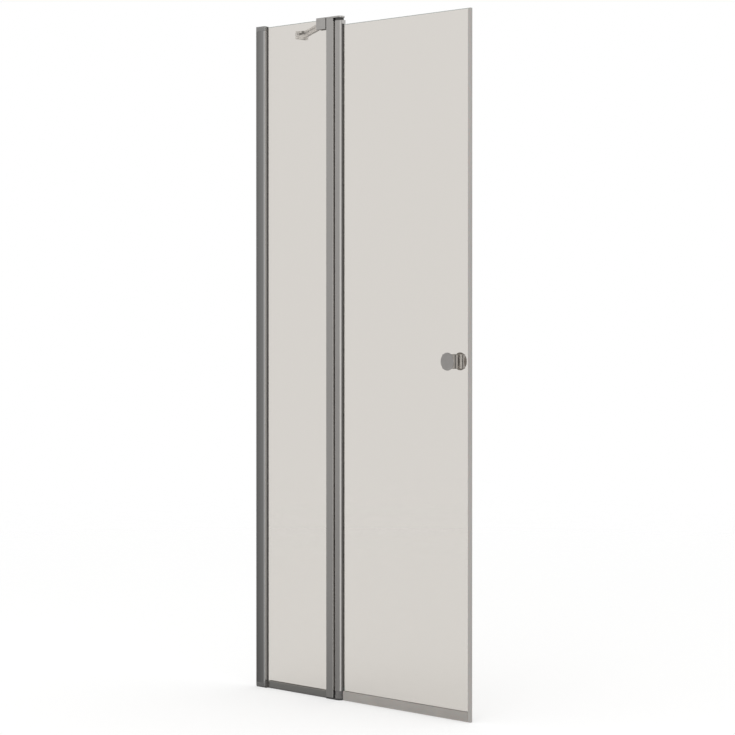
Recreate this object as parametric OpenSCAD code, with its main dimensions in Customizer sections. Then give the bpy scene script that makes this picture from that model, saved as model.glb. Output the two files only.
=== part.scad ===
// Framed shower door with one fixed panel and one hinged door in a single line.
// Millimetres. The origin is the foot of the pivot axis on the shower tray.
// +Z is up, +X runs from the pivot to the strike edge, +Y points into the shower.
// The wall stands at -X, and the door opens outward, towards -Y.

/* [Overall] */
// Height from the tray to the top of the hinge plate
overall_h = 2000; // [1850:10:2100]
// Width from the wall to the strike face
overall_w = 880; // [820:5:960]
// Distance from the pivot axis to the strike face
door_reach = 528.5; // [500:0.5:560]
// Thickness of both glass panes
glass_t = 6; // [6:1:6]

/* [Glass heights] */
// Drop of the fixed pane's top edge below the overall height
fixed_glass_drop = 5; // [5:1:6]
// Drop of the door pane's top edge below the overall height
door_glass_drop = 26; // [24:1:30]
// Height of both panes' bottom edges above the tray
glass_foot = 12; // [12:1:12]

/* [Wall profile] */
// Width of the wall profile seen from the front
wall_w = 38; // [38:1:44]
// Depth of the wall profile from front to back
wall_d = 22.5; // [22.5:0.5:26]
// Reach of the wall profile in front of the middle of the glass
wall_front = 16; // [15.5:0.5:16]
// Wall thickness of the extrusions
skin = 1.8; // [1.6:0.1:2]
// Height of the end caps of the wall profile
wall_cap_h = 14; // [12:1:16]
// Drop of the wall profile's top below the overall height
wall_drop = 2; // [2:1:3]
// Travel of the wall profile on its channel, for walls out of true
adjust = 10; // [6:1:10]

/* [Hinge post] */
// Width of the post
post_w = 29; // [29:0.5:36]
// Depth of the post
post_d = 26; // [24:1:28]
// Gap between the post's flat side and the round hinge tube
post_gap = 2; // [1:0.5:2]
// Radius of the two post corners beside the hinge tube
post_round = 2; // [2:0.5:5]

/* [Hinge tube] */
// Radius of the round hinge tube that carries the door
tube_r = 14; // [14:0.5:14]
// Radius of the bore down the middle of the tube
tube_bore_r = 6; // [6:0.5:6]
// Height of the tube's bottom edge above the tray
tube_foot = 27; // [27:1:28]

/* [Hinge plates and lifting cams] */
// Thickness of the plates that tie post and hinge tube together
plate_t = 5; // [4:1:5]
// Radius of the bearing foot
foot_r = 14; // [13:0.5:14]
// Height of the bearing foot on its plate
foot_h = 10; // [9:1:10]
// Radius of the two cams that lift the door
cam_r = 13; // [11:0.5:13]
// Height that the door rises over its full swing
lift = 6; // [4:1:6]
// Angle through which the door opens
swing = 100; // [90:5:110]
// Radius of the bottom pivot pin and of the top spindle's journal
pin_r = 5; // [5:0.5:5]

/* [Bottom rail] */
// Height of the rail under the fixed pane
rail_h = 21; // [20:1:26]
// Depth of the rail
rail_d = 18; // [16:1:20]
// Height of the dark foot strip under the rail
strip_h = 3.5; // [3:0.5:4]

/* [Door seals] */
// Height of the grey seal along the door's bottom edge
sweep_h = 28; // [27:0.5:32]
// Depth of the bottom seal
sweep_d = 10; // [10:0.5:11]
// Side of the square strike seal
strike_w = 9; // [9:0.5:10]
// Gap between the seals and the tray with the door closed
tray_gap = 1; // [1:0.5:2]

/* [Knob] */
// Diameter of the knob's disc
knob_d = 50; // [44:1:56]
// Side of the square block behind the knob's disc
knob_block_w = 40; // [36:1:42]
// Reach of the knob's face from the middle of the glass
knob_reach = 27; // [25:1:28]
// Height of the knob's axis above the tray
knob_z = 997; // [900:1:1100]
// Distance from the knob's axis to the strike face
knob_inset = 67; // [55:1:80]

/* [Brace] */
// Width of the clamp block on the fixed pane
block_w = 39.5; // [38:0.5:44]
// Height of the clamp block
block_h = 34; // [34:1:40]
// Height of the flat brace bar
bar_h = 20; // [18:1:20]
// Thickness of the brace bar
bar_t = 8; // [6:1:9]
// Distance from the fixed pane to the wall flange's pin, measured along the wall
brace_reach = 168; // [130:1:200]

/* [Hidden] */
$fn = 64;

// Small lengths used in many places
cut = 1;         // how far a cutting shape runs past the face it opens
snug = 0.03;     // gap around a pin or bush that never turns
running = 0.05;  // gap around a shaft that turns
loose = 0.3;     // gap between parts that slide past each other

half_glass = glass_t / 2;

// Lines across the width, from the wall to the strike face
wall_x = door_reach - overall_w;
wall_mouth_x = wall_x + wall_w;
pocket_depth = 10;
back_setback = 5;
web_x = wall_mouth_x - pocket_depth - skin;
post_right_x = -tube_r - post_gap;
post_left_x = post_right_x - post_w;
post_pocket = 14.5;
pane_round = 2;
post_web_x = post_left_x + post_pocket;
strike_x = door_reach;

// Heights shared by several pieces
wall_top = overall_h - wall_drop;
plate_under = overall_h - plate_t;
fixed_glass_top = overall_h - fixed_glass_drop;
door_glass_top = overall_h - door_glass_drop;
tube_cap_t = 2;
head_room = 1.8;
tube_top = plate_under - lift - head_room - tube_cap_t;
foot_top = plate_t + foot_h;

// Wall channel and its adjusting screws
channel_t = 2;
wall_mid = wall_d / 2 - wall_front;
channel_half = wall_d / 2 - skin - 0.2;
channel_foot = wall_cap_h + 2;
channel_top = wall_top - wall_cap_h - 2;
channel_depth = web_x - wall_x - 2;
wall_hole_r = 2.75;
wall_hole_margin = 100;
wall_hole_step = (overall_h - 2 * wall_hole_margin) / 3;
wall_holes = [for (i = [0:3]) wall_hole_margin + i * wall_hole_step];
adjuster_x = wall_x + 9;
adjuster_r = 1.95;
adjuster_margin = 200;
adjuster_step = (overall_h - 2 * adjuster_margin) / 2;
adjuster_zs = [for (i = [0:2]) adjuster_margin + i * adjuster_step];
nut_t = 3;
nut_w = 12;
head_r = 4;
head_t = 2.4;
cross_half = 0.4;
cover_r = 6.5;
cover_t = 4;

// Black glazing strips
wall_gasket_front_y = 7.7;
wall_gasket_back_y = wall_d - wall_front - skin;
wall_gasket_proud = 1;
gasket_root = 1;
wall_round = 3;
cap_spigot = 8;
cap_plug_half = channel_half - channel_t - 1;
rim = 1.5;
grip = 1.6;
post_gasket_half = half_glass + 2;
post_gasket_proud = 2;
glass_bite = 2;

// Bottom rail
foot_block_x = wall_mouth_x + wall_gasket_proud;
foot_block_top = rail_h - 0.5;
rail_x = [foot_block_x + 5.4, post_left_x];
rail_floor = glass_foot - 2;
rail_gasket_top = rail_h - 0.8;

// Rubber lip between post and hinge tube
lip_seal_y = [7, 10];
lip_seal_proud = post_gap + 1.1;
lip_seal_bite = 1;
lip_seal_z = [plate_t + 4, plate_under - 4];

// Screw ports in the post, and the plate screws that go into them
port = [post_right_x - 8.5, post_d / 2 - 5.2];
port_r = 3.6;
port_bore_r = 1.9;
plate_screw_r = 1.85;
plate_screw_head_r = 3.8;
plate_screw_head_h = 2.2;
plate_screw_length = 20;
plate_key_r = 1.4;
plate_key_depth = 1.2;
plate_end_x = tube_r;
plate_round = 11;
recess = 0.2;

// Top spindle, its bush and its clip
bush_flange_r = tube_r - 1.8;
bush_foot = tube_top + tube_cap_t - 0.5;
bush_r = 7;
clip_t = 1.2;
clip_r = 7.6;
clip_groove_r = 4.35;
clip_gape = 2;
clip_seat = 1.6;
clip_seat_r = 8;
clip_z = overall_h - clip_seat + 0.1;
spindle_square = 7;
spindle_play = 0.2;
spindle_square_top = bush_foot - spindle_play;
spindle_foot = tube_top - 55;
guide_foot = tube_top - 50;
guide_top = spindle_square_top - lift - spindle_play;

// Hinge tube with its neck, glass slot and end cap
neck_x = tube_r + 1;
neck_half = 6.5;
nose_half = neck_half + 1;
slot_x = tube_bore_r + 1.5;
slot_half = half_glass + grip;
neck_round = 1;
bead_x = neck_x + 2.5;
bead_half = slot_half + 1;
tube_cap_well_r = bush_flange_r + loose;
tube_cap_well_foot = bush_foot - lift - loose;
hinge_gasket_foot = tube_foot + 1;
hinge_gasket_top = door_glass_top + 2;

// Lifting cams: flat ramps that meet on a plane through the pivot axis.
// Turned by t, the ramps ask for 2 cam_r ramp sin(t / 2), which stays under the lift at t.
swing_rad = swing * PI / 180;
ramp = 0.95 * lift / (cam_r * swing_rad);
ramp_z = (foot_top + tube_foot) / 2 - 0.5;
ramp_gap = 0.05;
pin_foot = 0.5;
pin_top = tube_foot + 48;
bush_top = tube_foot + 45;
lug_h = 10;

// Panes
fixed_glass_x = [web_x + skin + glass_bite, post_web_x - glass_bite];
door_glass_x = [slot_x + gasket_root, strike_x - strike_w / 2];
notch_x = bead_x + rim;
notch_top = tube_foot + lug_h + rim;

// Door seals
sweep_x = [notch_x, strike_x - strike_w - loose];
lip_top = glass_foot - 3;
lip_half = sweep_d / 2 - 0.4;
lip_tip = 1.5;
magnet_t = 2.4;
magnet_half = 3.1;
magnet_margin = 0.9;

// Knob, drawn along its axis as distances from the middle of the glass
knob_x = strike_x - knob_inset;
knob_r = knob_d / 2;
block_half = knob_block_w / 2;
block_round = 1.5;
washer_t = 1;
washer_r = block_half - 2;
base_from = half_glass + washer_t;
base_to = base_from + 9;
groove_r = block_half - 3;
groove_w = 3.2;
disc_t = 1.6;
disc_round = 0.7;
stud_r = 4;
stud_half = knob_reach - 3;
glass_hole_r = 6;
grub_r = 2;
grub_key = 3;
grub_at = (base_to + groove_w + knob_reach - disc_t) / 2;

// Brace: clamp block, swivel pins and the flange on the wall
block_gap = 2;
block_x = post_left_x - block_gap - block_w;
block_front = -14;
block_back = 10;
block_foot = overall_h - block_h;
liner_t = 1;
liner_margin = 1.5;
buffer_t = 1.5;
buffer_margin = 2.5;
buffer_z = [block_foot + 4.5, overall_h - 9];
jaw_grub_xs = [block_x + block_w - 7.5, block_x + block_w - 21.5];
jaw_grub_r = 3;
jaw_grub_z = block_foot + 16;
jaw_grub_recess = 0.5;
jaw_grub_key = 2.5;
bar_z = overall_h - 1.5 - bar_h;
swivel_r = 3;
eye_r = 7.5;
ear_r = 8;
tongue_z = [bar_z + 10, bar_z + 14];
fork_root = eye_r + 0.5;
fork_gap = 1.5;
block_pin = [block_x + 4, 18.5];
flange_t = 4;
flange_w = 47;
flange_foot = overall_h - 25;
flange_ear_r = 12;
flange_hole_half = 18;
flange_round = 3;
flange_relief_r = 4;
flange_pin_xy = [wall_x + 16, brace_reach];
brace_run = flange_pin_xy - block_pin;
brace_angle = atan2(brace_run[1], brace_run[0]);

// Colours as the photograph shows them
satin = [0.60, 0.60, 0.59];
bright = [0.68, 0.68, 0.67];
dark_rubber = [0.10, 0.10, 0.10];
pale_vinyl = [0.62, 0.60, 0.57];
clear_vinyl = [0.86, 0.86, 0.84, 0.6];
glass_tint = [0.83, 0.84, 0.82, 0.4];
nylon = [0.25, 0.25, 0.25];
steel = [0.70, 0.70, 0.70];

// ---- Shared shapes ----

// Box between two corners
module box(from, to) translate(from) cube(to - from);

// Outline pulled up from one height to another
module upright(from, to) translate([0, 0, from]) linear_extrude(to - from) children();

// Rectangle from x0 to x1, centred on Y, with its corners rounded by r0 at x0 and r1 at x1
module plank(x0, x1, width, r0, r1) {
    half = width / 2;
    translate([x0 + r0, -half]) square([x1 - x0 - r0 - r1, width]);
    if (r0 > 0) {
        translate([x0, r0 - half]) square([r0, width - 2 * r0]);
        for (side = [-1, 1]) translate([x0 + r0, side * (half - r0)]) circle(r0);
    }
    if (r1 > 0) {
        translate([x1 - r1, r1 - half]) square([r1, width - 2 * r1]);
        for (side = [-1, 1]) translate([x1 - r1, side * (half - r1)]) circle(r1);
    }
}

// Round bar with a hole, standing on Z
module ring(outer, inner, from, to) {
    difference() {
        translate([0, 0, from]) cylinder(h = to - from, r = outer);
        translate([0, 0, from - cut]) cylinder(h = to - from + 2 * cut, r = inner);
    }
}

// Round bar along X, from x0 to x1
module rod_x(r, x0, x1) translate([x0, 0, 0]) rotate([0, 90, 0]) cylinder(h = x1 - x0, r = r);

// Round bar along Y, from y0 to y1
module rod_y(r, y0, y1) translate([0, y0, 0]) rotate([-90, 0, 0]) cylinder(h = y1 - y0, r = r);

// Slot cut along Y: a round end at the origin and another one at x = run
module slot_y(r, run, y0, y1) {
    rod_y(r, y0, y1);
    translate([run, 0, 0]) rod_y(r, y0, y1);
    box([0, y0, -r], [run, y1, r]);
}

// The same strip in front of the glass and behind it
module both_sides() {
    children();
    mirror([0, 1, 0]) children();
}

// ---- Wall side ----

module wall_channel() {
    color(bright) translate([0, wall_mid, 0]) difference() {
        upright(channel_foot, channel_top) difference() {
            plank(wall_x, wall_x + channel_depth, 2 * channel_half, 0, 0);
            translate([wall_x + channel_t, channel_t - channel_half])
                square([channel_depth, 2 * (channel_half - channel_t)]);
        }
        for (z = wall_holes) translate([0, 0, z]) rod_x(wall_hole_r, wall_x - cut, wall_x + channel_t + cut);
        for (z = adjuster_zs) translate([adjuster_x, 0, z])
            slot_y(adjuster_r + loose, adjust, channel_half - channel_t - cut, channel_half + cut);
    }
}

// Outline of the wall profile with the mouth that holds the pane and its glazing strips
module wall_outline() {
    difference() {
        translate([0, wall_mid]) plank(wall_x, wall_mouth_x, wall_d, 0, wall_round);
        translate([web_x + skin, -wall_gasket_front_y])
            square([pocket_depth + cut, wall_gasket_front_y + wall_gasket_back_y]);
        translate([wall_mouth_x - back_setback, 0]) square([back_setback + cut, wall_d]);
    }
}

module wall_section() {
    inner_d = wall_d - 2 * skin;
    difference() {
        wall_outline();
        translate([wall_x - cut, skin - wall_front]) square([web_x - wall_x + cut, inner_d]);
        translate([web_x + skin, skin - wall_front])
            square([pocket_depth - skin, wall_front - skin - rim - wall_gasket_front_y]);
    }
}

module wall_profile() {
    color(satin) difference() {
        upright(wall_cap_h, wall_top - wall_cap_h) wall_section();
        for (z = adjuster_zs) translate([adjuster_x, wall_mid, z])
            rod_y(adjuster_r + snug, wall_d / 2 - skin - cut, wall_d / 2 + cut);
    }
}

// Plug that holds a cap inside the channel
module cap_plug(from, to) {
    plug_x = wall_x + channel_t + loose + adjust / 2;
    translate([0, wall_mid, 0]) box([plug_x, -cap_plug_half, from], [web_x - loose, cap_plug_half, to]);
}

module wall_top_cap() {
    color(satin) {
        upright(wall_top - wall_cap_h, wall_top) wall_outline();
        cap_plug(wall_top - wall_cap_h - cap_spigot, wall_top - wall_cap_h);
    }
}

module wall_bottom_cap() {
    color(satin) {
        upright(strip_h, wall_cap_h) wall_outline();
        cap_plug(wall_cap_h, wall_cap_h + cap_spigot);
    }
}

// Pad under the wall profile, with a block that closes the gap to the rail
module wall_foot_pad() {
    pad_half = wall_d / 2 - cut;
    color(dark_rubber) difference() {
        translate([0, wall_mid, 0]) {
            upright(0, strip_h) plank(wall_x, rail_x[0], 2 * pad_half, 0, 0);
            box([foot_block_x, -pad_half, 0], [rail_x[0], pad_half, foot_block_top]);
        }
        box([foot_block_x - cut, -half_glass, glass_foot],
            [rail_x[0] + cut, half_glass, foot_block_top + cut]);
    }
}

// The lip and the strip behind the pane end before those in front of it
module wall_gasket(reach_x, reach_y) {
    box([web_x + skin + gasket_root, half_glass, strip_h], [reach_x, reach_y, wall_top - cut]);
}

module wall_gasket_front() color(dark_rubber) mirror([0, 1, 0])
    wall_gasket(foot_block_x, wall_gasket_front_y);
module wall_gasket_back() color(clear_vinyl)
    wall_gasket(foot_block_x - back_setback, wall_gasket_back_y);

module adjuster_screws() {
    color(steel) for (z = adjuster_zs) translate([adjuster_x, wall_mid, z]) {
        rod_y(adjuster_r, channel_half - channel_t - nut_t - loose, wall_d / 2);
        difference() {
            rod_y(head_r, wall_d / 2, wall_d / 2 + head_t);
            for (turn = [0, 90]) rotate([0, turn, 0])
                box([-head_r / 2, wall_d / 2 + head_t / 2, -cross_half],
                    [head_r / 2, wall_d / 2 + head_t + cut, cross_half]);
        }
    }
}

module adjuster_nuts() {
    back = channel_half - channel_t - loose;
    color(steel) for (z = adjuster_zs) translate([adjuster_x, wall_mid, z]) difference() {
        box([-nut_w / 2, back - nut_t, -nut_w / 2], [nut_w / 2, back, nut_w / 2]);
        rod_y(adjuster_r + snug, back - nut_t - cut, back + cut);
    }
}

module adjuster_covers() {
    face = wall_d / 2;
    color(satin) for (z = adjuster_zs) translate([adjuster_x, wall_mid, z]) difference() {
        rod_y(cover_r, face, face + cover_t);
        rod_y(head_r + loose, face - cut, face + head_t + loose);
    }
}

// ---- Fixed pane and its rail ----

module fixed_glass() {
    color(glass_tint)
        box([fixed_glass_x[0], -half_glass, glass_foot], [fixed_glass_x[1], half_glass, fixed_glass_top]);
}

module bottom_rail() {
    color(satin) difference() {
        box([rail_x[0], -rail_d / 2, strip_h], [rail_x[1], rail_d / 2, rail_h]);
        box([rail_x[0] - cut, -slot_half, rail_floor], [rail_x[1] + cut, slot_half, rail_h + cut]);
    }
}

module rail_gasket() {
    color(clear_vinyl) difference() {
        box([rail_x[0], -slot_half, rail_floor], [rail_x[1], slot_half, rail_gasket_top]);
        box([rail_x[0] - cut, -half_glass, glass_foot], [rail_x[1] + cut, half_glass, rail_h + cut]);
    }
}

module rail_foot_strip() {
    color(dark_rubber) box([rail_x[0], cut - rail_d / 2, 0], [rail_x[1], rail_d / 2 - cut, strip_h]);
}

// ---- Hinge post ----

module post_section() {
    inner_half = post_d / 2 - skin;
    chamber_y = post_gasket_half + rim;
    difference() {
        plank(post_left_x, post_right_x, post_d, pane_round, post_round);
        translate([post_left_x - cut, -post_gasket_half])
            square([post_pocket + cut, 2 * post_gasket_half]);
        for (y = [-inner_half, chamber_y]) translate([post_left_x + skin, y])
            square([post_pocket - skin, inner_half - chamber_y]);
        difference() {
            plank(post_web_x + skin, post_right_x - skin, 2 * inner_half, 0, post_round - skin);
            for (side = [-1, 1]) translate([port[0], side * port[1]]) circle(port_r);
        }
        for (side = [-1, 1]) translate([port[0], side * port[1]]) circle(port_bore_r);
    }
}

module post_lip_seal() {
    color(dark_rubber) box([post_right_x - lip_seal_bite, lip_seal_y[0], lip_seal_z[0]],
        [post_right_x + lip_seal_proud, lip_seal_y[1], lip_seal_z[1]]);
}

module post_profile() {
    color(satin) difference() {
        upright(plate_t, plate_under) post_section();
        post_lip_seal();
    }
}

module post_gaskets() {
    color(clear_vinyl) both_sides() box([post_left_x - post_gasket_proud, half_glass, rail_h + rim],
        [post_web_x - glass_bite, post_gasket_half, block_foot - rim]);
}

// ---- Plates, bush, foot and pin of the pivot ----

module plate_outline() plank(post_left_x, plate_end_x, post_d, pane_round, plate_round);

// Screw for a hinge plate, its head up
module plate_screw() {
    difference() {
        union() {
            translate([0, 0, -plate_screw_length]) cylinder(h = plate_screw_length, r = plate_screw_r);
            translate([0, 0, -plate_screw_head_h])
                cylinder(h = plate_screw_head_h, r1 = plate_screw_r, r2 = plate_screw_head_r);
        }
        translate([0, 0, -plate_key_depth]) cylinder(h = plate_key_depth + cut, r = plate_key_r, $fn = 6);
    }
}

// Room for that screw
module plate_screw_seat() {
    translate([0, 0, -plate_t - cut]) cylinder(h = plate_t + 2 * cut, r = plate_screw_r + running);
    translate([0, 0, -plate_screw_head_h])
        cylinder(h = plate_screw_head_h, r1 = plate_screw_r + running, r2 = plate_screw_head_r + running);
    cylinder(h = recess + cut, r = plate_screw_head_r + running);
}

module at_top_ports() for (side = [-1, 1])
    translate([port[0], side * port[1], overall_h - recess]) children();

module at_bottom_ports() for (side = [-1, 1])
    translate([port[0], side * port[1], recess]) rotate([180, 0, 0]) children();

module top_hinge_plate() {
    color(bright) difference() {
        upright(plate_under, overall_h) plate_outline();
        at_top_ports() plate_screw_seat();
        ring(bush_r, 0, plate_under - cut, overall_h + cut);
        ring(clip_seat_r, 0, overall_h - clip_seat, overall_h + cut);
    }
}

module top_plate_screws() color(steel) at_top_ports() plate_screw();

module top_bush() {
    color(nylon) difference() {
        union() {
            ring(bush_flange_r, 0, bush_foot, plate_under);
            ring(bush_r - snug, 0, plate_under, overall_h - clip_seat);
        }
        ring(pin_r + running, 0, bush_foot - cut, overall_h);
    }
}

module bottom_hinge_plate() {
    color(nylon) difference() {
        upright(0, plate_t) plate_outline();
        at_bottom_ports() plate_screw_seat();
        ring(pin_r + snug, 0, -cut, plate_t + cut);
    }
}

module bottom_plate_screws() color(steel) at_bottom_ports() plate_screw();

module bearing_foot() color(nylon) ring(foot_r, pin_r + snug, plate_t, foot_top);

module pivot_pin() color(steel) ring(pin_r, 0, pin_foot, pin_top);

// Everything under the cams' shared ramp, raised by a gap
module under_ramp(gap) {
    span = 8 * cam_r;
    translate([0, 0, ramp_z + gap]) rotate([0, -atan(ramp), 0])
        translate([-span / 2, -span / 2, -span]) cube(span);
}

module lower_cam() {
    color(nylon) intersection() {
        ring(cam_r, pin_r + snug, foot_top, tube_foot);
        under_ramp(0);
    }
}

module upper_cam() {
    color(nylon) difference() {
        union() {
            ring(cam_r, 0, foot_top, tube_foot);
            box([door_glass_x[0], running - half_glass, tube_foot],
                [neck_x, half_glass - running, tube_foot + lug_h]);
        }
        under_ramp(ramp_gap);
        ring(pin_r + running, 0, 0, pin_top);
    }
}

module top_spindle() {
    color(steel) {
        upright(spindle_foot, spindle_square_top) square(spindle_square, center = true);
        difference() {
            ring(pin_r, 0, spindle_square_top, overall_h);
            ring(pin_r + cut, clip_groove_r, clip_z, clip_z + clip_t);
        }
    }
}

module spindle_clip() {
    color(steel) difference() {
        ring(clip_r, clip_groove_r + snug, clip_z, clip_z + clip_t);
        box([0, -clip_gape / 2, clip_z - cut], [clip_seat_r, clip_gape / 2, clip_z + clip_t + cut]);
    }
}

// ---- Hinge tube on the door ----

// Room that lets the tube rise over the top bush
module bush_well() ring(tube_cap_well_r, 0, tube_cap_well_foot, overall_h);

module hinge_tube() {
    color(satin) difference() {
        upright(tube_foot, tube_top) difference() {
            union() {
                circle(tube_r);
                intersection() {
                    plank(0, neck_x, 2 * neck_half, 0, neck_round);
                    translate([0, -tube_r]) square([neck_x, tube_r]);
                }
            }
            circle(tube_bore_r);
            translate([slot_x, -slot_half]) square([neck_x, 2 * slot_half]);
        }
        bush_well();
    }
}

module hinge_top_cap() {
    color(bright) {
        difference() {
            upright(tube_top, tube_top + tube_cap_t) {
                circle(tube_r);
                plank(0, bead_x, 2 * nose_half, 0, neck_round);
            }
            bush_well();
        }
        upright(hinge_gasket_top + running, tube_top)
            plank(neck_x + snug, bead_x, 2 * nose_half, 0, neck_round);
    }
}

module hinge_gasket(reach_x) {
    box([slot_x + gasket_root, half_glass, hinge_gasket_foot], [reach_x, slot_half, hinge_gasket_top]);
}

module hinge_gasket_front() color(dark_rubber) mirror([0, 1, 0]) {
    hinge_gasket(neck_x);
    box([neck_x, half_glass, hinge_gasket_foot], [bead_x, bead_half, hinge_gasket_top]);
}

module hinge_gasket_back() color(clear_vinyl) hinge_gasket(bead_x);

module upper_guide() {
    color(nylon) upright(guide_foot, guide_top) difference() {
        circle(tube_bore_r - snug);
        square(spindle_square + spindle_play, center = true);
    }
}

module lower_bush() color(nylon) ring(tube_bore_r - snug, pin_r + running, tube_foot + loose, bush_top);

// ---- Door pane and seals ----

module door_glass() {
    color(glass_tint) difference() {
        box([door_glass_x[0], -half_glass, glass_foot], [door_glass_x[1], half_glass, door_glass_top]);
        box([door_glass_x[0] - cut, -glass_t, glass_foot - cut], [notch_x, glass_t, notch_top]);
        translate([knob_x, 0, knob_z]) rod_y(glass_hole_r, -glass_t, glass_t);
    }
}

// Outline in Y and Z, drawn along X from x0 to x1
module along_x(x0, x1) translate([x0, 0, 0]) rotate([90, 0, 90]) linear_extrude(x1 - x0) children();

module door_sweep() {
    color(pale_vinyl) along_x(sweep_x[0], sweep_x[1]) difference() {
        translate([-sweep_d / 2, lip_top]) square([sweep_d, sweep_h - lip_top]);
        translate([-half_glass, glass_foot]) square([glass_t, sweep_h]);
    }
}

module door_sweep_lip() {
    color(pale_vinyl) along_x(sweep_x[0], sweep_x[1])
        polygon([[-lip_half, lip_top], [lip_half, lip_top], [lip_tip, tray_gap], [-lip_half, tray_gap]]);
}

module strike_seal() {
    left = strike_x - strike_w;
    color(pale_vinyl) upright(tray_gap, door_glass_top) difference() {
        plank(left, strike_x, strike_w, 0, 1);
        translate([left - cut, -half_glass]) square([door_glass_x[1] - left + cut, glass_t]);
        translate([strike_x - magnet_margin - magnet_t, -magnet_half]) square([magnet_t, 2 * magnet_half]);
    }
}

module magnet_strip() {
    color(dark_rubber) box([strike_x - magnet_margin - magnet_t, -magnet_half, tray_gap + cut],
        [strike_x - magnet_margin, magnet_half, door_glass_top - cut]);
}

// ---- Knob ----

// Moves a shape drawn on +Z to the front (side 1) or the back (side -1) of the door
module on_knob(side) translate([knob_x, 0, knob_z]) rotate([side * 90, 0, 0]) children();

module knob_block(from, to) upright(from, to)
    plank(-block_half, block_half, knob_block_w, block_round, block_round);

module knob_head() {
    neck_to = base_to + groove_w;
    disc_from = knob_reach - disc_t;
    difference() {
        union() {
            ring(groove_r, 0, base_to, neck_to);
            knob_block(neck_to, disc_from);
            rotate_extrude() {
                translate([0, disc_from]) square([knob_r - disc_round, disc_t]);
                translate([0, disc_from]) square([knob_r, disc_t - disc_round]);
                translate([knob_r - disc_round, knob_reach - disc_round]) circle(disc_round);
            }
        }
        ring(stud_r + snug, 0, base_to - cut, stud_half);
    }
}

module knob_base() {
    color(bright) difference() {
        knob_block(base_from, base_to);
        ring(stud_r + snug, 0, base_from - cut, base_to + cut);
    }
}

module knob_front_head() color(bright) on_knob(1) knob_head();
module knob_front_base() on_knob(1) knob_base();
module knob_back_base() on_knob(-1) knob_base();

// Hole for the grub screw that locks the back head, on its underside
module knob_back_head() {
    color(bright) difference() {
        on_knob(-1) knob_head();
        translate([knob_x, grub_at, knob_z - block_half - cut])
            cylinder(h = block_half + cut, r = grub_r + snug);
    }
}

module knob_stud() on_knob(1) color(steel) ring(stud_r, 0, -stud_half + cut, stud_half - cut);

module knob_washers() color(clear_vinyl) for (side = [-1, 1])
    on_knob(side) ring(washer_r, stud_r + snug, half_glass, base_from);

module knob_sleeve() color(nylon) on_knob(1)
    ring(glass_hole_r - snug, stud_r + snug, -half_glass, half_glass);

module knob_grub_screw() {
    color(steel) translate([knob_x, grub_at, knob_z]) difference() {
        translate([0, 0, cut - block_half]) cylinder(h = block_half - cut - stud_r - snug, r = grub_r);
        translate([0, 0, -block_half]) cylinder(h = grub_key, r = grub_r / 2, $fn = 6);
    }
}

// ---- Brace ----

// Fork round a swivel pin, reaching back to a face at y = depth behind the pin
module fork(r, depth, from, to) {
    difference() {
        union() {
            ring(r, 0, from, to);
            box([-r, -depth, from], [r, 0, to]);
        }
        ring(swivel_r + snug, 0, from - cut, to + cut);
        box([-r - cut, -fork_root, tongue_z[0] - loose], [r + cut, r + cut, tongue_z[1] + loose]);
    }
}

module brace_block() {
    color(bright) difference() {
        union() {
            box([block_x, block_front, block_foot], [block_x + block_w, block_back, overall_h]);
            translate(block_pin) fork(ear_r, block_pin[1] - block_back + cut, bar_z, bar_z + bar_h);
        }
        box([block_x - cut, -half_glass - liner_t, block_foot - cut],
            [block_x + block_w + cut, half_glass + liner_t, fixed_glass_top + liner_t]);
        for (x = jaw_grub_xs) translate([x, 0, jaw_grub_z])
            rod_y(jaw_grub_r + snug, half_glass, block_back + cut);
    }
}

// Rubber round the pane in the jaw, with a buffer that keeps the block off the post
module brace_liner() {
    x0 = block_x + liner_margin;
    x1 = block_x + block_w;
    color(dark_rubber) difference() {
        union() {
            box([x0, -half_glass - liner_t, block_foot + liner_margin],
                [x1, half_glass + liner_t, fixed_glass_top + liner_t]);
            box([x1, block_front + buffer_margin, buffer_z[0]],
                [x1 + buffer_t, block_back - buffer_margin, buffer_z[1]]);
        }
        box([x0 - cut, -half_glass, 0], [x1 + buffer_t + cut, half_glass, fixed_glass_top]);
    }
}

module brace_grub_screws() {
    to = block_back - jaw_grub_recess;
    color(steel) for (x = jaw_grub_xs) translate([x, 0, jaw_grub_z]) difference() {
        rod_y(jaw_grub_r, half_glass + liner_t, to);
        translate([0, to - jaw_grub_key, 0]) rotate([-90, 0, 0])
            cylinder(h = jaw_grub_key + cut, r = jaw_grub_r / 2, $fn = 6);
    }
}

module brace_pin() color(steel) translate(block_pin) ring(swivel_r, 0, bar_z, bar_z + bar_h);

// The bar is full height between the forks, and ends in flat tongues round the pins
module brace_bar() {
    length = norm(brace_run);
    color(bright) translate(block_pin) rotate([0, 0, brace_angle]) difference() {
        union() {
            box([ear_r + fork_gap, -bar_t / 2, bar_z],
                [length - flange_ear_r - fork_gap, bar_t / 2, bar_z + bar_h]);
            box([0, -bar_t / 2, tongue_z[0]], [length, bar_t / 2, tongue_z[1]]);
            for (x = [0, length]) translate([x, 0, 0]) ring(eye_r, 0, tongue_z[0], tongue_z[1]);
        }
        for (x = [0, length]) translate([x, 0, 0])
            ring(swivel_r + running, 0, tongue_z[0] - cut, tongue_z[1] + cut);
    }
}

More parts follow.
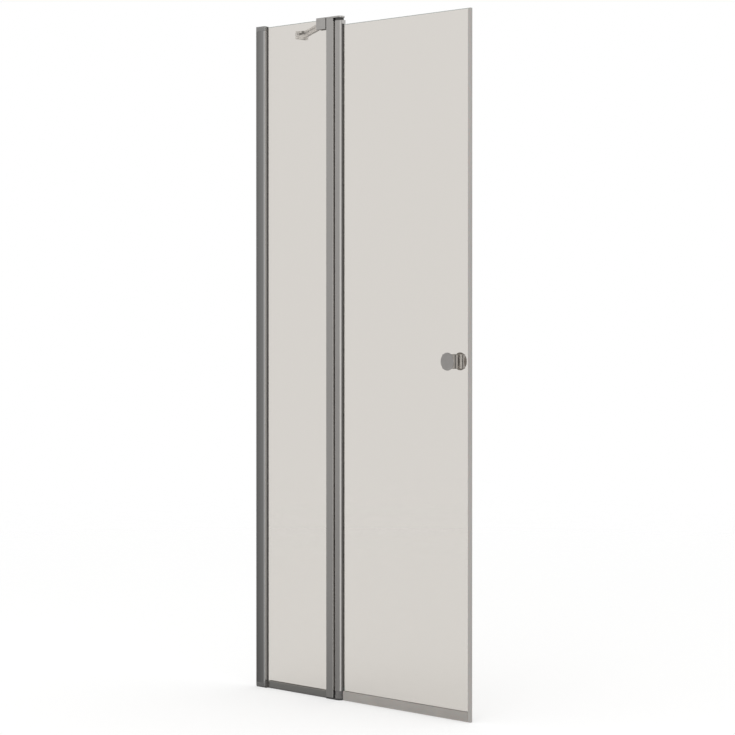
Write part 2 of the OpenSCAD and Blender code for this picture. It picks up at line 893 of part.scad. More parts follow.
module wall_flange() {
    flange_z = (flange_foot + overall_h) / 2;
    color(bright) difference() {
        union() {
            translate([wall_x, brace_reach, flange_z]) rotate([0, 90, 0]) linear_extrude(flange_t)
                plank(flange_foot - flange_z, overall_h - flange_z, flange_w, flange_round, flange_round);
            translate(flange_pin_xy) rotate([0, 0, -90])
                fork(flange_ear_r, flange_pin_xy[0] - wall_x - flange_t + cut, flange_foot, overall_h);
        }
        for (side = [-1, 1]) translate([0, brace_reach + side * flange_hole_half, flange_z])
            rod_x(wall_hole_r, wall_x - cut, wall_x + flange_t + cut);
        translate([flange_pin_xy[0] - fork_root, brace_reach, (tongue_z[0] + tongue_z[1]) / 2])
            rod_y(flange_relief_r, -flange_ear_r - cut, flange_ear_r + cut);
    }
}

module flange_pin() color(steel) translate(flange_pin_xy) ring(swivel_r, 0, flange_foot, overall_h);

// ---- Nodes ----

wall_channel();
wall_profile();
wall_top_cap();
wall_bottom_cap();
wall_foot_pad();
wall_gasket_front();
wall_gasket_back();
adjuster_screws();
adjuster_nuts();
adjuster_covers();
fixed_glass();
bottom_rail();
rail_gasket();
rail_foot_strip();
post_profile();
post_gaskets();
post_lip_seal();
top_hinge_plate();
top_plate_screws();
top_bush();
bottom_hinge_plate();
bottom_plate_screws();
bearing_foot();
pivot_pin();
lower_cam();
brace_block();
brace_liner();
brace_grub_screws();
brace_pin();
top_spindle();
spindle_clip();
hinge_tube();
hinge_top_cap();
hinge_gasket_front();
hinge_gasket_back();
upper_guide();
lower_bush();
upper_cam();
door_glass();
door_sweep();
door_sweep_lip();
strike_seal();
magnet_strip();
knob_front_head();
knob_front_base();
knob_back_head();
knob_back_base();
knob_stud();
knob_washers();
knob_sleeve();
knob_grub_screw();
brace_bar();
wall_flange();
flange_pin();
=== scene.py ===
import math

import bmesh
import bpy
from mathutils import Matrix, Vector, geometry


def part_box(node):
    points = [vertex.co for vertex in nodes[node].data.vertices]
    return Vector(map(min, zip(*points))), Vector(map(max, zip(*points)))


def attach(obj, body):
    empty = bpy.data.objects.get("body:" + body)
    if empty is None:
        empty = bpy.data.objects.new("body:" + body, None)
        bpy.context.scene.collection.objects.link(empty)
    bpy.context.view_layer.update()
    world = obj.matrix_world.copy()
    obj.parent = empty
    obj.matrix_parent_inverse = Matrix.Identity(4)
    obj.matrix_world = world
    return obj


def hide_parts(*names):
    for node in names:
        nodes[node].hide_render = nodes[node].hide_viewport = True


# Framed shower door: a fixed pane at the wall, a hinge post, a round hinge tube and one door pane.
# Pieces are sized in millimetres and built in metres. X and Y start at the pivot axis, Z at the tray:
# +X runs to the strike edge, +Y into the shower.

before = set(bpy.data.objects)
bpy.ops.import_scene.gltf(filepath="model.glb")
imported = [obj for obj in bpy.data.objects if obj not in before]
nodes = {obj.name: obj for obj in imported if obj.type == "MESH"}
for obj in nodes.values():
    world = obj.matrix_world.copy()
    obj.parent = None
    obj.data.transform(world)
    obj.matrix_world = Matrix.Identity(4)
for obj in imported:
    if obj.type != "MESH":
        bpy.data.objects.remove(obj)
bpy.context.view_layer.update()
print("frame loaded:", len(nodes), "solids")

mm = 0.001
sameSpot = 1e-7  # metres between corners that are one
glassHalf = 3.0  # half a pane's thickness
smoothBelow = 32  # degrees between two faces


def reach(node):  # lowest and highest corner of a solid, in millimetres
    low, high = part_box(node)
    return [v / mm for v in low], [v / mm for v in high]


def middleOf(node):
    low, high = reach(node)
    return [(a + b) / 2 for a, b in zip(low, high)]


# node trees


class Tap:  # an output socket that takes part in sums
    def __init__(self, tree, socket):
        self.tree, self.socket = tree, socket

    def worked(self, operation, *values):
        node = self.tree.nodes.new("ShaderNodeMath")
        node.operation = operation
        for slot, value in zip(node.inputs, values):
            plug(self.tree, slot, value)
        return Tap(self.tree, node.outputs[0])

    def __add__(self, other):
        return self.worked("ADD", self, other)

    def __radd__(self, other):
        return self.worked("ADD", other, self)

    def __mul__(self, other):
        return self.worked("MULTIPLY", self, other)

    def __rmul__(self, other):
        return self.worked("MULTIPLY", other, self)

    def __pow__(self, other):
        return self.worked("POWER", self, other)


def plug(tree, slot, value):  # a list brings several taps to one socket
    for one in value if isinstance(value, list) else [value]:
        if isinstance(one, Tap):
            tree.links.new(one.socket, slot)
        else:
            slot.default_value = one


class Bench:
    # a node tree being wired: add() makes any node
    def __init__(self, tree):
        self.tree = tree
        tree.nodes.clear()

    def add(self, kind, settings=None, sockets=None, out=0):
        node = self.tree.nodes.new(kind)
        for key, value in (settings or {}).items():
            if key == "stops":
                ramp = node.color_ramp
                while len(ramp.elements) < len(value):
                    ramp.elements.new(0.5)
                for element, (place, shade) in zip(ramp.elements, value):
                    element.position = place
                    element.color = (*shade, 1)
            else:
                setattr(node, key, value)
        for key, value in (sockets or {}).items():
            plug(self.tree, node.inputs[key], value)
        return Tap(self.tree, node.outputs[out]) if node.outputs else None

    def mixed(self, factor, first, second):  # colour between two colours
        pick = lambda c: c if isinstance(c, Tap) else (*c, 1)
        return self.add("ShaderNodeMix", {"data_type": "RGBA"}, {0: factor, 6: pick(first), 7: pick(second)}, 2)

    def spread(self, value, low, high, toLow=0.0, toHigh=1.0, kind="SMOOTHSTEP"):
        return self.add("ShaderNodeMapRange", {"interpolation_type": kind}, {
            "Value": value, "From Min": low, "From Max": high, "To Min": toLow, "To Max": toHigh})

    def blended(self, factor, first, second):  # shader between two shaders
        return self.add("ShaderNodeMixShader", {}, {0: factor, 1: first, 2: second})


def newFinish(name):
    material = bpy.data.materials.new(name)
    material.use_nodes = True
    return material, Bench(material.node_tree)


def closed(material, bench, surface):
    bench.add("ShaderNodeOutputMaterial", {}, {"Surface": surface})
    return material


def grainOf(bench, scale, stretch, detail, rough=0.5):
    # noise in the piece's own frame, stretched by dividing its scale along each axis
    place = bench.add("ShaderNodeTexCoord", out="Object")
    mapped = bench.add("ShaderNodeMapping", {}, {"Vector": place, "Scale": tuple(1 / s for s in stretch)})
    return bench.add(
        "ShaderNodeTexNoise", {}, {"Vector": mapped, "Scale": scale, "Detail": detail, "Roughness": rough})


# finishes: noise scales are per metre, bump depths in metres

drawn = dict(
    fine=2600, fineStretch=160, wide=420, wideStretch=60, cloud=9, cloudStretch=3, fineShare=0.45,
    wideShare=0.3, cloudShare=0.25, darkAt=0.3, paleAt=0.7, fineRelief=0.7, wideRelief=0.3, bumpDepth=0.0001)


def drawnMetal(name, pale, dark, along, rough, roughSwing, bump, paintedShades=()):
    # extruded, anodised metal: long draw lines, soft clouds from the bath, and any painted shade that is given
    material, bench = newFinish(name)
    d = drawn
    fine = grainOf(bench, d["fine"], tuple(d["fineStretch"] if axis == along else 1 for axis in "XYZ"), 3)
    wide = grainOf(bench, d["wide"], tuple(d["wideStretch"] if axis == along else 1 for axis in "XYZ"), 1)
    cloud = grainOf(bench, d["cloud"], (1, 1, d["cloudStretch"]), 2)
    mark = d["fineShare"] * fine + d["wideShare"] * wide + d["cloudShare"] * cloud
    colour = bench.mixed(bench.spread(mark, d["darkAt"], d["paleAt"]), dark, pale)
    # painted shade: each stretch pulls the colour towards a darker one along X
    for shade in paintedShades:
        place = bench.add("ShaderNodeTexCoord", out="Object")
        across = bench.add("ShaderNodeSeparateXYZ", {}, {0: place}, "X")
        fade = bench.spread(across, shade["start"], shade["end"], shade["depth"], 0.0, "LINEAR")
        colour = bench.mixed(fade, colour, shade["colour"])
    relief = bench.add("ShaderNodeBump", {}, {
        "Strength": bump, "Distance": d["bumpDepth"], "Height": d["fineRelief"] * fine + d["wideRelief"] * wide})
    return closed(material, bench, bench.add("ShaderNodeBsdfPrincipled", {}, {
        "Base Color": colour, "Metallic": 1.0, "Roughness": rough - roughSwing / 2 + mark * roughSwing,
        "Normal": relief}))


polish = dict(haze=55, darkFrom=0.35, darkTo=0.75, bump=0.03, bumpDepth=0.0001)


def plated(name, colour, dark, rough, roughSwing, fine=1200.0, metal=1.0):
    # polished and plated metal with a trace of orange peel and handling haze
    material, bench = newFinish(name)
    peel = grainOf(bench, fine, (1, 1, 1), 2)
    haze = grainOf(bench, polish["haze"], (1, 1, 1), 3)
    tone = bench.mixed(bench.spread(haze, polish["darkFrom"], polish["darkTo"]), colour, dark)
    relief = bench.add("ShaderNodeBump", {}, {
        "Strength": polish["bump"], "Distance": polish["bumpDepth"], "Height": peel})
    return closed(material, bench, bench.add("ShaderNodeBsdfPrincipled", {}, {
        "Base Color": tone, "Metallic": metal, "Roughness": rough - roughSwing / 2 + haze * roughSwing,
        "Normal": relief}))


mould = dict(
    grainDetail=4, grainRough=0.6, slow=14, slowStretch=4, grainShare=0.6, slowShare=0.4, darkAt=0.3,
    paleAt=0.7, roughSwing=0.16, bumpDepth=0.0002, softDepth=0.002)


def moulded(name, colour, dark, rough, bump, scale, stretch=(1, 1, 1), soft=0.0):
    # rubber, nylon and vinyl: fine surface grain with a slow change of tone
    material, bench = newFinish(name)
    m = mould
    grain = grainOf(bench, scale, stretch, m["grainDetail"], m["grainRough"])
    slow = grainOf(bench, m["slow"], (1, 1, m["slowStretch"]), 2)
    mark = m["grainShare"] * grain + m["slowShare"] * slow
    relief = bench.add("ShaderNodeBump", {}, {"Strength": bump, "Distance": m["bumpDepth"], "Height": grain})
    return closed(material, bench, bench.add("ShaderNodeBsdfPrincipled", {}, {
        "Base Color": bench.mixed(bench.spread(mark, m["darkAt"], m["paleAt"]), dark, colour),
        "Roughness": rough - m["roughSwing"] / 2 + mark * m["roughSwing"], "Normal": relief,
        "Subsurface Weight": soft, "Subsurface Scale": m["softDepth"]}))


sheet = dict(
    wipe=7, wipeStretch=2.5, edgePower=5.0, milkSwing=0.1, milkColour=(0.9, 0.9, 0.882),
    shine=(0.95, 0.95, 0.95))


def seeThrough(name, passed, gloss, smear, base, milk=0.0):
    # a clear sheet: each face passes its tint and mirrors more towards grazing angles
    material, bench = newFinish(name)
    facing = bench.add("ShaderNodeLayerWeight", {}, {"Blend": 0.5}, "Facing")
    wipe = grainOf(bench, sheet["wipe"], (1, 1, sheet["wipeStretch"]), 3)
    mirror = facing ** sheet["edgePower"] * (1 - base) + base
    clear = bench.add("ShaderNodeBsdfTransparent", {}, {"Color": (*[c ** 0.5 for c in passed], 1)})
    if milk:  # a cloudy body that scatters some of the light
        cloudy = bench.add("ShaderNodeBsdfDiffuse", {}, {"Color": (*sheet["milkColour"], 1)})
        clear = bench.blended(milk - sheet["milkSwing"] / 2 + wipe * sheet["milkSwing"], clear, cloudy)
    shine = bench.add("ShaderNodeBsdfAnisotropic", {}, {
        "Color": (*sheet["shine"], 1), "Roughness": wipe * smear + gloss})
    return closed(material, bench, bench.blended(mirror, clear, shine))


# painted shade on the wall profile along X, in metres, darkest towards the wall: each darker stretch fades out
# from its start to its end
paintedWallShade = [
    dict(start=-0.3205, end=-0.3175, depth=0.62, colour=(0.36, 0.36, 0.36)),
    dict(start=-0.353, end=-0.322, depth=0.60, colour=(0.20, 0.20, 0.20))]

recipes = dict(
    satinUp=(drawnMetal, (0.86, 0.845, 0.83), (0.80, 0.785, 0.77), "Z", 0.20, 0.08, 0.05),
    # the wall profile's satin finish, with painted shade that darkens it towards the wall
    satinWall=(drawnMetal, (0.86, 0.86, 0.86), (0.78, 0.78, 0.78), "Z", 0.20, 0.08, 0.05, paintedWallShade),
    satinAcross=(drawnMetal, (0.66, 0.655, 0.635), (0.59, 0.585, 0.565), "X", 0.22, 0.08, 0.05),
    satinCap=(plated, (0.60, 0.60, 0.60), (0.52, 0.52, 0.52), 0.26, 0.08, 2400),
    millMetal=(drawnMetal, (0.74, 0.75, 0.76), (0.62, 0.63, 0.64), "Z", 0.38, 0.18, 0.12),
    chrome=(plated, (0.88, 0.86, 0.845), (0.82, 0.80, 0.785), 0.10, 0.05),
    chromeSoft=(plated, (0.88, 0.865, 0.85), (0.82, 0.805, 0.79), 0.16, 0.06),
    paleCast=(plated, (0.90, 0.885, 0.87), (0.82, 0.805, 0.79), 0.30, 0.08, 1500, 0.5),
    whiteCast=(plated, (0.93, 0.92, 0.905), (0.87, 0.86, 0.845), 0.30, 0.08, 1500, 0.2),
    # dark cast: a painted shadow, used on the wall flange's upper ear
    shadedCast=(plated, (0.40, 0.39, 0.38), (0.30, 0.29, 0.28), 0.34, 0.08, 1500, 0.5),
    steel=(plated, (0.70, 0.70, 0.69), (0.52, 0.52, 0.53), 0.30, 0.16, 1800),
    rubber=(moulded, (0.115, 0.108, 0.104), (0.080, 0.075, 0.072), 0.50, 0.16, 900),
    rubberGrey=(moulded, (0.42, 0.40, 0.39), (0.36, 0.345, 0.335), 0.50, 0.16, 900),
    nylon=(moulded, (0.165, 0.158, 0.155), (0.125, 0.12, 0.118), 0.46, 0.12, 700),
    nylonDark=(moulded, (0.060, 0.058, 0.057), (0.042, 0.041, 0.040), 0.46, 0.12, 700),
    vinyl=(moulded, (0.360, 0.338, 0.315), (0.300, 0.282, 0.264), 0.40, 0.08, 600, (40, 1, 1), 0.08),
    vinylUp=(moulded, (0.40, 0.38, 0.36), (0.345, 0.33, 0.315), 0.40, 0.08, 600, (1, 1, 40), 0.08),
    glass=(seeThrough, (0.712, 0.683, 0.645), 0.015, 0.03, 0.04),
    glassEdge=(seeThrough, (0.30, 0.36, 0.33), 0.22, 0.1, 0.10),
    clearVinyl=(seeThrough, (0.92, 0.92, 0.91), 0.16, 0.1, 0.05, 0.30),
)
finishes = {name: make(name, *how) for name, (make, *how) in recipes.items()}
print("finishes made:", len(finishes))


# outlines, in millimetres, with the material on the left of the line


def arc(centre, radius, start, turn, steps):
    return [centre + Vector((math.cos(start + turn * k / steps), math.sin(start + turn * k / steps))) * radius
            for k in range(steps + 1)]


def rounded(points, steps):
    # each point is (x, y) or (x, y, radius); a radius turns the corner into an arc
    loop = []
    for i, point in enumerate(points):
        here = Vector(point[:2])
        radius = point[2] if len(point) > 2 else 0
        if not radius:
            loop.append(here)
            continue
        before, after = Vector(points[i - 1][:2]) - here, Vector(points[(i + 1) % len(points)][:2]) - here
        before.normalize(), after.normalize()
        half = before.angle(after) / 2
        along = radius / math.tan(half)
        first, last = here + before * along, here + after * along
        middle = here + (before + after).normalized() * (radius / math.sin(half))
        start = math.atan2(first.y - middle.y, first.x - middle.x)
        turn = math.atan2(last.y - middle.y, last.x - middle.x) - start
        loop += arc(middle, radius, start, (turn + math.pi) % (2 * math.pi) - math.pi, steps)
    return loop


def circle(x, y, radius, count, hole=True):
    turn = -1 if hole else 1
    return [Vector((
        x + radius * math.cos(turn * 2 * math.pi * k / count),
        y + radius * math.sin(turn * 2 * math.pi * k / count))) for k in range(count)]


def bar(x0, x1, y0, y1, radius, steps=4):
    return rounded([(x0, y0, radius), (x1, y0, radius), (x1, y1, radius), (x0, y1, radius)], steps)


def outside(near, far, half, nearRound, farRound):  # a section's four outer corners
    return [(near, -half, nearRound), (far, -half, farRound), (far, half, farRound), (near, half, nearRound)]


def leftward(loop):  # the loop in the order that keeps the material on its left
    area = sum(a.cross(b) for a, b in zip(loop, loop[1:] + loop[:1]))
    return loop if area > 0 else list(reversed(loop))


def drawnIn(loop, by):  # the same loop moved towards the material
    moved = []
    for i, here in enumerate(loop):
        a = (here - loop[i - 1]).normalized()
        b = (loop[(i + 1) % len(loop)] - here).normalized()
        left = Vector((-a.y - b.y, a.x + b.x))
        grow = left.length_squared / 2
        moved.append(here + left * (by / grow) if grow > 0.05 else here)
    return moved


# meshes

axisTurn = {  # (across, up, along) of an outline to x, y, z
    "Z": lambda u, v, w: (u, v, w),
    "X": lambda u, v, w: (w, u, v),
    "Y": lambda u, v, w: (u, w, v),
}


def placed(name, data):  # a new object in the scene
    piece = bpy.data.objects.new(name, data)
    bpy.context.scene.collection.objects.link(piece)
    return piece


def smoothed(mesh, below=smoothBelow):
    mesh.shade_smooth()
    mesh.set_sharp_from_angle(angle=math.radians(below))


def finished(name, mesh, *materials, below=smoothBelow):
    for one in materials:
        mesh.materials.append(finishes[one])
    smoothed(mesh, below)
    return placed(name, mesh)


def meshOf(name, build):
    work = bmesh.new()
    build(work)
    bmesh.ops.remove_doubles(work, verts=work.verts, dist=sameSpot)
    bmesh.ops.recalc_face_normals(work, faces=work.faces)
    mesh = bpy.data.meshes.new(name)
    work.to_mesh(mesh)
    work.free()
    return mesh


def addPrism(work, loops, low, high, rim, steps, axis):
    # solid between two levels with soft rims; the first loop is the outside, the others are holes
    place = axisTurn[axis]
    quarter = [math.pi / 2 * k / steps for k in range(steps + 1)]
    levels = [(rim * (1 - math.sin(a)), low + rim * (1 - math.cos(a))) for a in quarter] if rim else [(0, low)]
    levels += [(by, high - (at - low)) for by, at in reversed(levels)]
    ends = {0: [], len(levels) - 1: []}
    for loop in loops:
        rings = []
        for n, (by, at) in enumerate(levels):
            flat = drawnIn(loop, by) if by else loop
            rings.append([work.verts.new([c * mm for c in place(p.x, p.y, at)]) for p in flat])
            if n in ends:
                ends[n].append((flat, rings[-1]))
        for lower, upper in zip(rings, rings[1:]):
            for i in range(len(loop)):
                work.faces.new((lower[i - 1], lower[i], upper[i], upper[i - 1]))
    for sheets in ends.values():
        if len(sheets) == 1:
            work.faces.new(sheets[0][1])
            continue
        corners = [v for _, ring in sheets for v in ring]
        for three in geometry.tessellate_polygon([[p.to_3d() for p in flat] for flat, _ in sheets]):
            work.faces.new([corners[i] for i in three])


def prism(name, material, loops, low, high, rim=0.3, steps=2, axis="Z"):
    return finished(name, meshOf(name, lambda w: addPrism(w, loops, low, high, rim, steps, axis)), material)


def addTurned(work, outline, centre, axis, segments):
    # outline is (radius, distance along the axis); a closed shape is spun into a solid
    place = axisTurn[axis]
    spots = {"Z": (0, 1, 2), "X": (1, 2, 0), "Y": (0, 2, 1)}[axis]
    cu, cv, cw = (centre[i] for i in spots)
    rings = []
    for radius, at in outline:
        count = segments if radius > sameSpot else 1
        rings.append([work.verts.new([c * mm for c in place(
            cu + radius * math.cos(2 * math.pi * k / segments),
            cv + radius * math.sin(2 * math.pi * k / segments), cw + at)]) for k in range(count)])
    for a, b in zip(rings, rings[1:] + rings[:1]):
        if len(a) == len(b) == 1:
            continue
        for k in range(segments):
            corners = [a[k % len(a)], a[(k + 1) % len(a)], b[(k + 1) % len(b)], b[k % len(b)]]
            work.faces.new(list(dict.fromkeys(corners)))


def turned(name, material, outline, centre, axis, segments, soft=0.25, steps=3):
    # a corner without a radius of its own gets the soft one, unless it is on the axis
    line = rounded([(*p, soft) if len(p) == 2 and p[0] > sameSpot else p for p in outline], steps)
    line = [tuple(p) for p in line]
    return finished(name, meshOf(name, lambda w: addTurned(w, line, centre, axis, segments)), material)


def drill(material, radius, start, end, centre, axis, segments=32):  # a round cutter along an axis
    outline = [(0, start), (radius, start), (radius, end), (0, end)]
    return turned("drill", material, outline, centre, axis, segments, 0)


def oneMesh(name, parts, *materials):  # several pieces joined to one, each with its own finish
    work = bmesh.new()
    wanted = [finishes[one] for one in materials]
    for part in parts:
        done = len(work.faces)
        work.from_mesh(part.data)
        work.faces.ensure_lookup_table()
        own = [wanted.index(one) for one in part.data.materials if one in wanted]
        for face in work.faces[done:]:
            face.material_index = own[0]
        bpy.data.objects.remove(part)
    mesh = bpy.data.meshes.new(name)
    work.to_mesh(mesh)
    work.free()
    return finished(name, mesh, *materials)


def settled(piece, shaded=False):  # the evaluated piece as a plain mesh, with no modifier left
    bpy.context.view_layer.update()
    evaluated = piece.evaluated_get(bpy.context.evaluated_depsgraph_get())
    mesh = bpy.data.meshes.new_from_object(evaluated)
    piece.modifiers.clear()
    piece.data = mesh
    if not shaded:
        smoothed(mesh)
    return piece


def evenlyShaded(piece):  # long flat faces keep their own normals beside a soft rim
    even = piece.modifiers.new("evenNormals", "WEIGHTED_NORMAL")
    even.keep_sharp = True
    return settled(piece, True)


def softened(piece, width, segments=2, angle=50):
    bevel = piece.modifiers.new("softEdges", "BEVEL")
    bevel.width, bevel.segments = width * mm, segments
    bevel.limit_method, bevel.angle_limit = "ANGLE", math.radians(angle)
    return settled(piece)


def drilled(piece, cutters):
    for cutter in cutters:
        hole = piece.modifiers.new("hole", "BOOLEAN")
        hole.operation, hole.solver, hole.object = "DIFFERENCE", "EXACT", cutter
    settled(piece)
    for cutter in cutters:
        bpy.data.objects.remove(cutter)
    return piece


# Geometry Nodes: a pushed profile and a row of fasteners


def startTree(name, inputs):  # gives the tree's bench, its inputs' identifiers and their taps
    tree = bpy.data.node_groups.new(name, "GeometryNodeTree")
    tree.interface.new_socket("Geometry", in_out="OUTPUT", socket_type="NodeSocketGeometry")
    keys = {}
    for key, kind in dict(Geometry="Geometry", **inputs, Finish="Material").items():
        socket = tree.interface.new_socket(key, in_out="INPUT", socket_type="NodeSocket" + kind)
        keys[key] = socket.identifier
    bench = Bench(tree)
    given = bench.add("NodeGroupInput").socket.node
    return bench, keys, {s.name: Tap(tree, s) for s in given.outputs if s.name}


def closeTree(bench, shape, finish):  # the export drops instances, so the shape is made real
    real = bench.add("GeometryNodeRealizeInstances", {}, {"Geometry": shape})
    done = bench.add("GeometryNodeSetMaterial", {}, {"Geometry": real, "Material": finish})
    bench.add("NodeGroupOutput", {}, {0: done})
    return bench.tree


def profileTree():
    # a die's outline, pushed out to a length: the outline face becomes a bar from Start along Run
    bench, keys, fed = startTree("pushedProfile", dict(Start="Vector", Run="Vector"))
    walls = bench.add("GeometryNodeExtrudeMesh", {"mode": "FACES"}, {
        "Mesh": fed["Geometry"], "Offset": fed["Run"], "Individual": False})
    back = bench.add("GeometryNodeFlipFaces", {}, {"Mesh": fed["Geometry"]})
    both = bench.add("GeometryNodeJoinGeometry", {}, {0: [walls, back]})
    solid = bench.add("GeometryNodeMergeByDistance", {}, {"Geometry": both, "Distance": 1e-6})
    moved = bench.add("GeometryNodeSetPosition", {}, {"Geometry": solid, "Offset": fed["Start"]})
    return closeTree(bench, moved, fed["Finish"]), keys


def rowTree():
    # the same small part set out in a straight row: Count of them, from First, each Step further on
    bench, keys, fed = startTree("fastenerRow", {
        "Count": "Int", "First": "Vector", "Step": "Vector", "Turn Each": "Vector", "Seed": "Int"})
    line = bench.add("GeometryNodeMeshLine", {"mode": "OFFSET"}, {
        "Count": fed["Count"], "Start Location": fed["First"], "Offset": fed["Step"]})
    order = bench.add("GeometryNodeInputIndex")
    chance = bench.add("FunctionNodeRandomValue", {"data_type": "FLOAT"}, {
        2: -1.0, 3: 1.0, "ID": order, "Seed": fed["Seed"]}, 1)
    turn = bench.add("ShaderNodeVectorMath", {"operation": "SCALE"}, {0: fed["Turn Each"], "Scale": chance})
    copies = bench.add("GeometryNodeInstanceOnPoints", {}, {
        "Points": line, "Instance": fed["Geometry"], "Rotation": turn})
    return closeTree(bench, copies, fed["Finish"]), keys


pushedProfile, profileKeys = profileTree()
fastenerRow, rowKeys = rowTree()


def grown(piece, tree, keys, inputs):  # a tree run on a piece, which is then a plain mesh
    maker = piece.modifiers.new("maker", "NODES")
    maker.node_group = tree
    for key, value in inputs.items():
        maker[keys[key]] = value
    return settled(piece)


def pushed(name, material, outline, start, end, axis="Z"):
    # outline in the plane across the axis; start and end in millimetres along it
    place = axisTurn[axis]
    mesh = bpy.data.meshes.new(name)
    mesh.from_pydata([[c * mm for c in place(p.x, p.y, 0)] for p in outline], [], [list(range(len(outline)))])
    mesh.update()
    piece = grown(placed(name, mesh), pushedProfile, profileKeys, {
        "Start": Vector(place(0, 0, start)) * mm, "Run": Vector(place(0, 0, end - start)) * mm,
        "Finish": finishes[material]})
    work = bmesh.new()
    work.from_mesh(piece.data)
    bmesh.ops.recalc_face_normals(work, faces=work.faces)
    work.to_mesh(piece.data)
    work.free()
    return piece


def row(name, part, material, count, first, step, turnEach=(0, 0, 0), seed=0):
    part.name = name
    return grown(part, fastenerRow, rowKeys, {
        "Count": count, "First": Vector(first) * mm, "Step": Vector(step) * mm,
        "Turn Each": Vector(turnEach), "Seed": seed, "Finish": finishes[material]})


made = []


def standsFor(piece, body, slot, *names):
    evenlyShaded(piece)
    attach(piece, body)
    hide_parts(*names)
    made.append(piece.name)
    return piece


# wall profile with its caps, foot pad and gaskets

wallSide = dict(
    skin=1.8, mouthRound=3.0, backRound=1.4, wallRound=0.5, lipRound=0.3, frontStrip=7.7, pocketDepth=10.0,
    backShort=5.0, endSoft=0.25, capRim=0.6, capHeight=14.0)

low, high = reach("wall_profile")
wallFront, wallBack = low[1], high[1]
backStrip = wallBack - wallSide["skin"]


def wallMouth(low, high):  # the outline from the wall's front corner round the mouth to the back corner
    s = wallSide
    floor, backMouth = high[0] - s["pocketDepth"], high[0] - s["backShort"]
    return [
        (low[0], wallFront, s["wallRound"]), (high[0], wallFront, s["mouthRound"]),
        (high[0], -s["frontStrip"], s["lipRound"]), (floor, -s["frontStrip"]), (floor, backStrip),
        (backMouth, backStrip, s["lipRound"]), (backMouth, wallBack, s["backRound"]),
        (low[0], wallBack, s["wallRound"])]


w = wallSide
web, innerFront = high[0] - w["pocketDepth"] - w["skin"], wallFront + w["skin"]
section = rounded(wallMouth(low, high) + [
    (low[0], backStrip, w["lipRound"]), (web, backStrip), (web, innerFront),
    (low[0], innerFront, w["lipRound"])], 8)
# the wall profile's finish carries painted shade towards the wall
wallProfile = pushed("wallProfile", "satinWall", section, low[2], high[2])
softened(wallProfile, w["endSoft"])
standsFor(wallProfile, "frame", "satin_aluminium", "wall_profile")

for node, name in (("wall_top_cap", "wallTopCap"), ("wall_bottom_cap", "wallBottomCap")):
    low, high = reach(node)
    onTop = node == "wall_top_cap"
    bottom, top = (high[2] - w["capHeight"], high[2]) if onTop else (low[2], w["capHeight"])
    standsFor(prism(name, "satinCap", [rounded(wallMouth(low, high), 8)], bottom, top, w["capRim"], 3),
              "frame", "satin_aluminium", node)

footPad = dict(
    height=3.5, shortBy=1.0, padRound=0.5, blockLong=5.4, slotHalf=3.02, slotFloor=12.0, topRound=0.8,
    slotRound=0.3)
f, half = footPad, footPad["slotHalf"]
low, high = reach("wall_foot_pad")
pad = bar(low[0], high[0] - f["shortBy"], low[1], high[1], f["padRound"])
block = rounded([
    (low[1], low[2], f["slotRound"]), (high[1], low[2], f["slotRound"]), (high[1], high[2], f["topRound"]),
    (half, high[2], f["slotRound"]), (half, f["slotFloor"]), (-half, f["slotFloor"]),
    (-half, high[2], f["slotRound"]), (low[1], high[2], f["topRound"])], 4)
standsFor(oneMesh("wallFootPad", [
    prism("pad", "rubber", [pad], low[2], f["height"]),
    pushed("block", "rubber", block, high[0] - f["blockLong"], high[0], "X")], "rubber"),
    "frame", "black_rubber", "wall_foot_pad")

wallStrip = dict(
    slope=0.9, slopeRound=0.4, beadTo=6.2, beadFrom=3.8, beadRound=0.7, lip=0.6, lipRound=0.3, backLip=0.3,
    backLipRound=0.2, backBead=3.5, backRound=0.5)
s, front = wallStrip, -w["frontStrip"]
low, high = reach("wall_gasket_front")
section = rounded([
    (low[0], front), (high[0] - s["slope"], front, s["slopeRound"]), (high[0], -s["beadTo"], s["beadRound"]),
    (high[0], -s["beadFrom"], s["slopeRound"]), (high[0] - s["lip"], -glassHalf, s["lipRound"]),
    (low[0], -glassHalf)], 5)
standsFor(
    pushed("wallGasketFront", "rubber", section, low[2], high[2]), "frame", "black_rubber", "wall_gasket_front")
low, high = reach("wall_gasket_back")
section = rounded([
    (low[0], glassHalf), (high[0] - s["backLip"], glassHalf, s["backLipRound"]),
    (high[0], s["backBead"], s["lipRound"]), (high[0] - s["backLip"], high[1], s["backRound"]),
    (low[0], high[1])], 5)
standsFor(
    pushed("wallGasketBack", "clearVinyl", section, low[2], high[2]), "frame", "clear_vinyl",
    "wall_gasket_back")

coverCap = dict(
    count=3, radius=6.5, height=4.0, crown=0.7, domeShare=0.6, domeDrop=0.2, crownIn=0.5, sideDrop=1.6,
    footRound=0.15, bore=4.3, boreDepth=2.7, boreRound=0.1, soft=0.5)
c = coverCap
low, high = reach("adjuster_covers")
button = turned("adjusterCover", "satinCap", [
    (0, c["height"]), (c["radius"] * c["domeShare"], c["height"] - c["crown"] * c["domeDrop"]),
    (c["radius"] - c["crownIn"], c["height"] - c["crown"]), (c["radius"], c["height"] - c["sideDrop"]),
    (c["radius"], 0, c["footRound"]), (c["bore"], 0, c["boreRound"]), (c["bore"], c["boreDepth"], c["boreRound"]),
    (0, c["boreDepth"]),
], (0, 0, 0), "Y", 48, c["soft"])
coverGap = (high[2] - low[2] - 2 * c["radius"]) / (c["count"] - 1)
row("adjusterCovers", button, "satinCap", c["count"],
    (middleOf("adjuster_covers")[0], low[1], low[2] + c["radius"]), (0, 0, coverGap))
standsFor(button, "frame", "satin_aluminium", "adjuster_covers")
print("wall side made")


# panes: polished edges with a ground arris

paneShape = dict(
    arris=0.7, corner=1.5, smoothBelow=20, flatAbove=0.99, notchTop=38.5, notchGap=1.5, notchRound=1.0,
    knobHole=6.0)


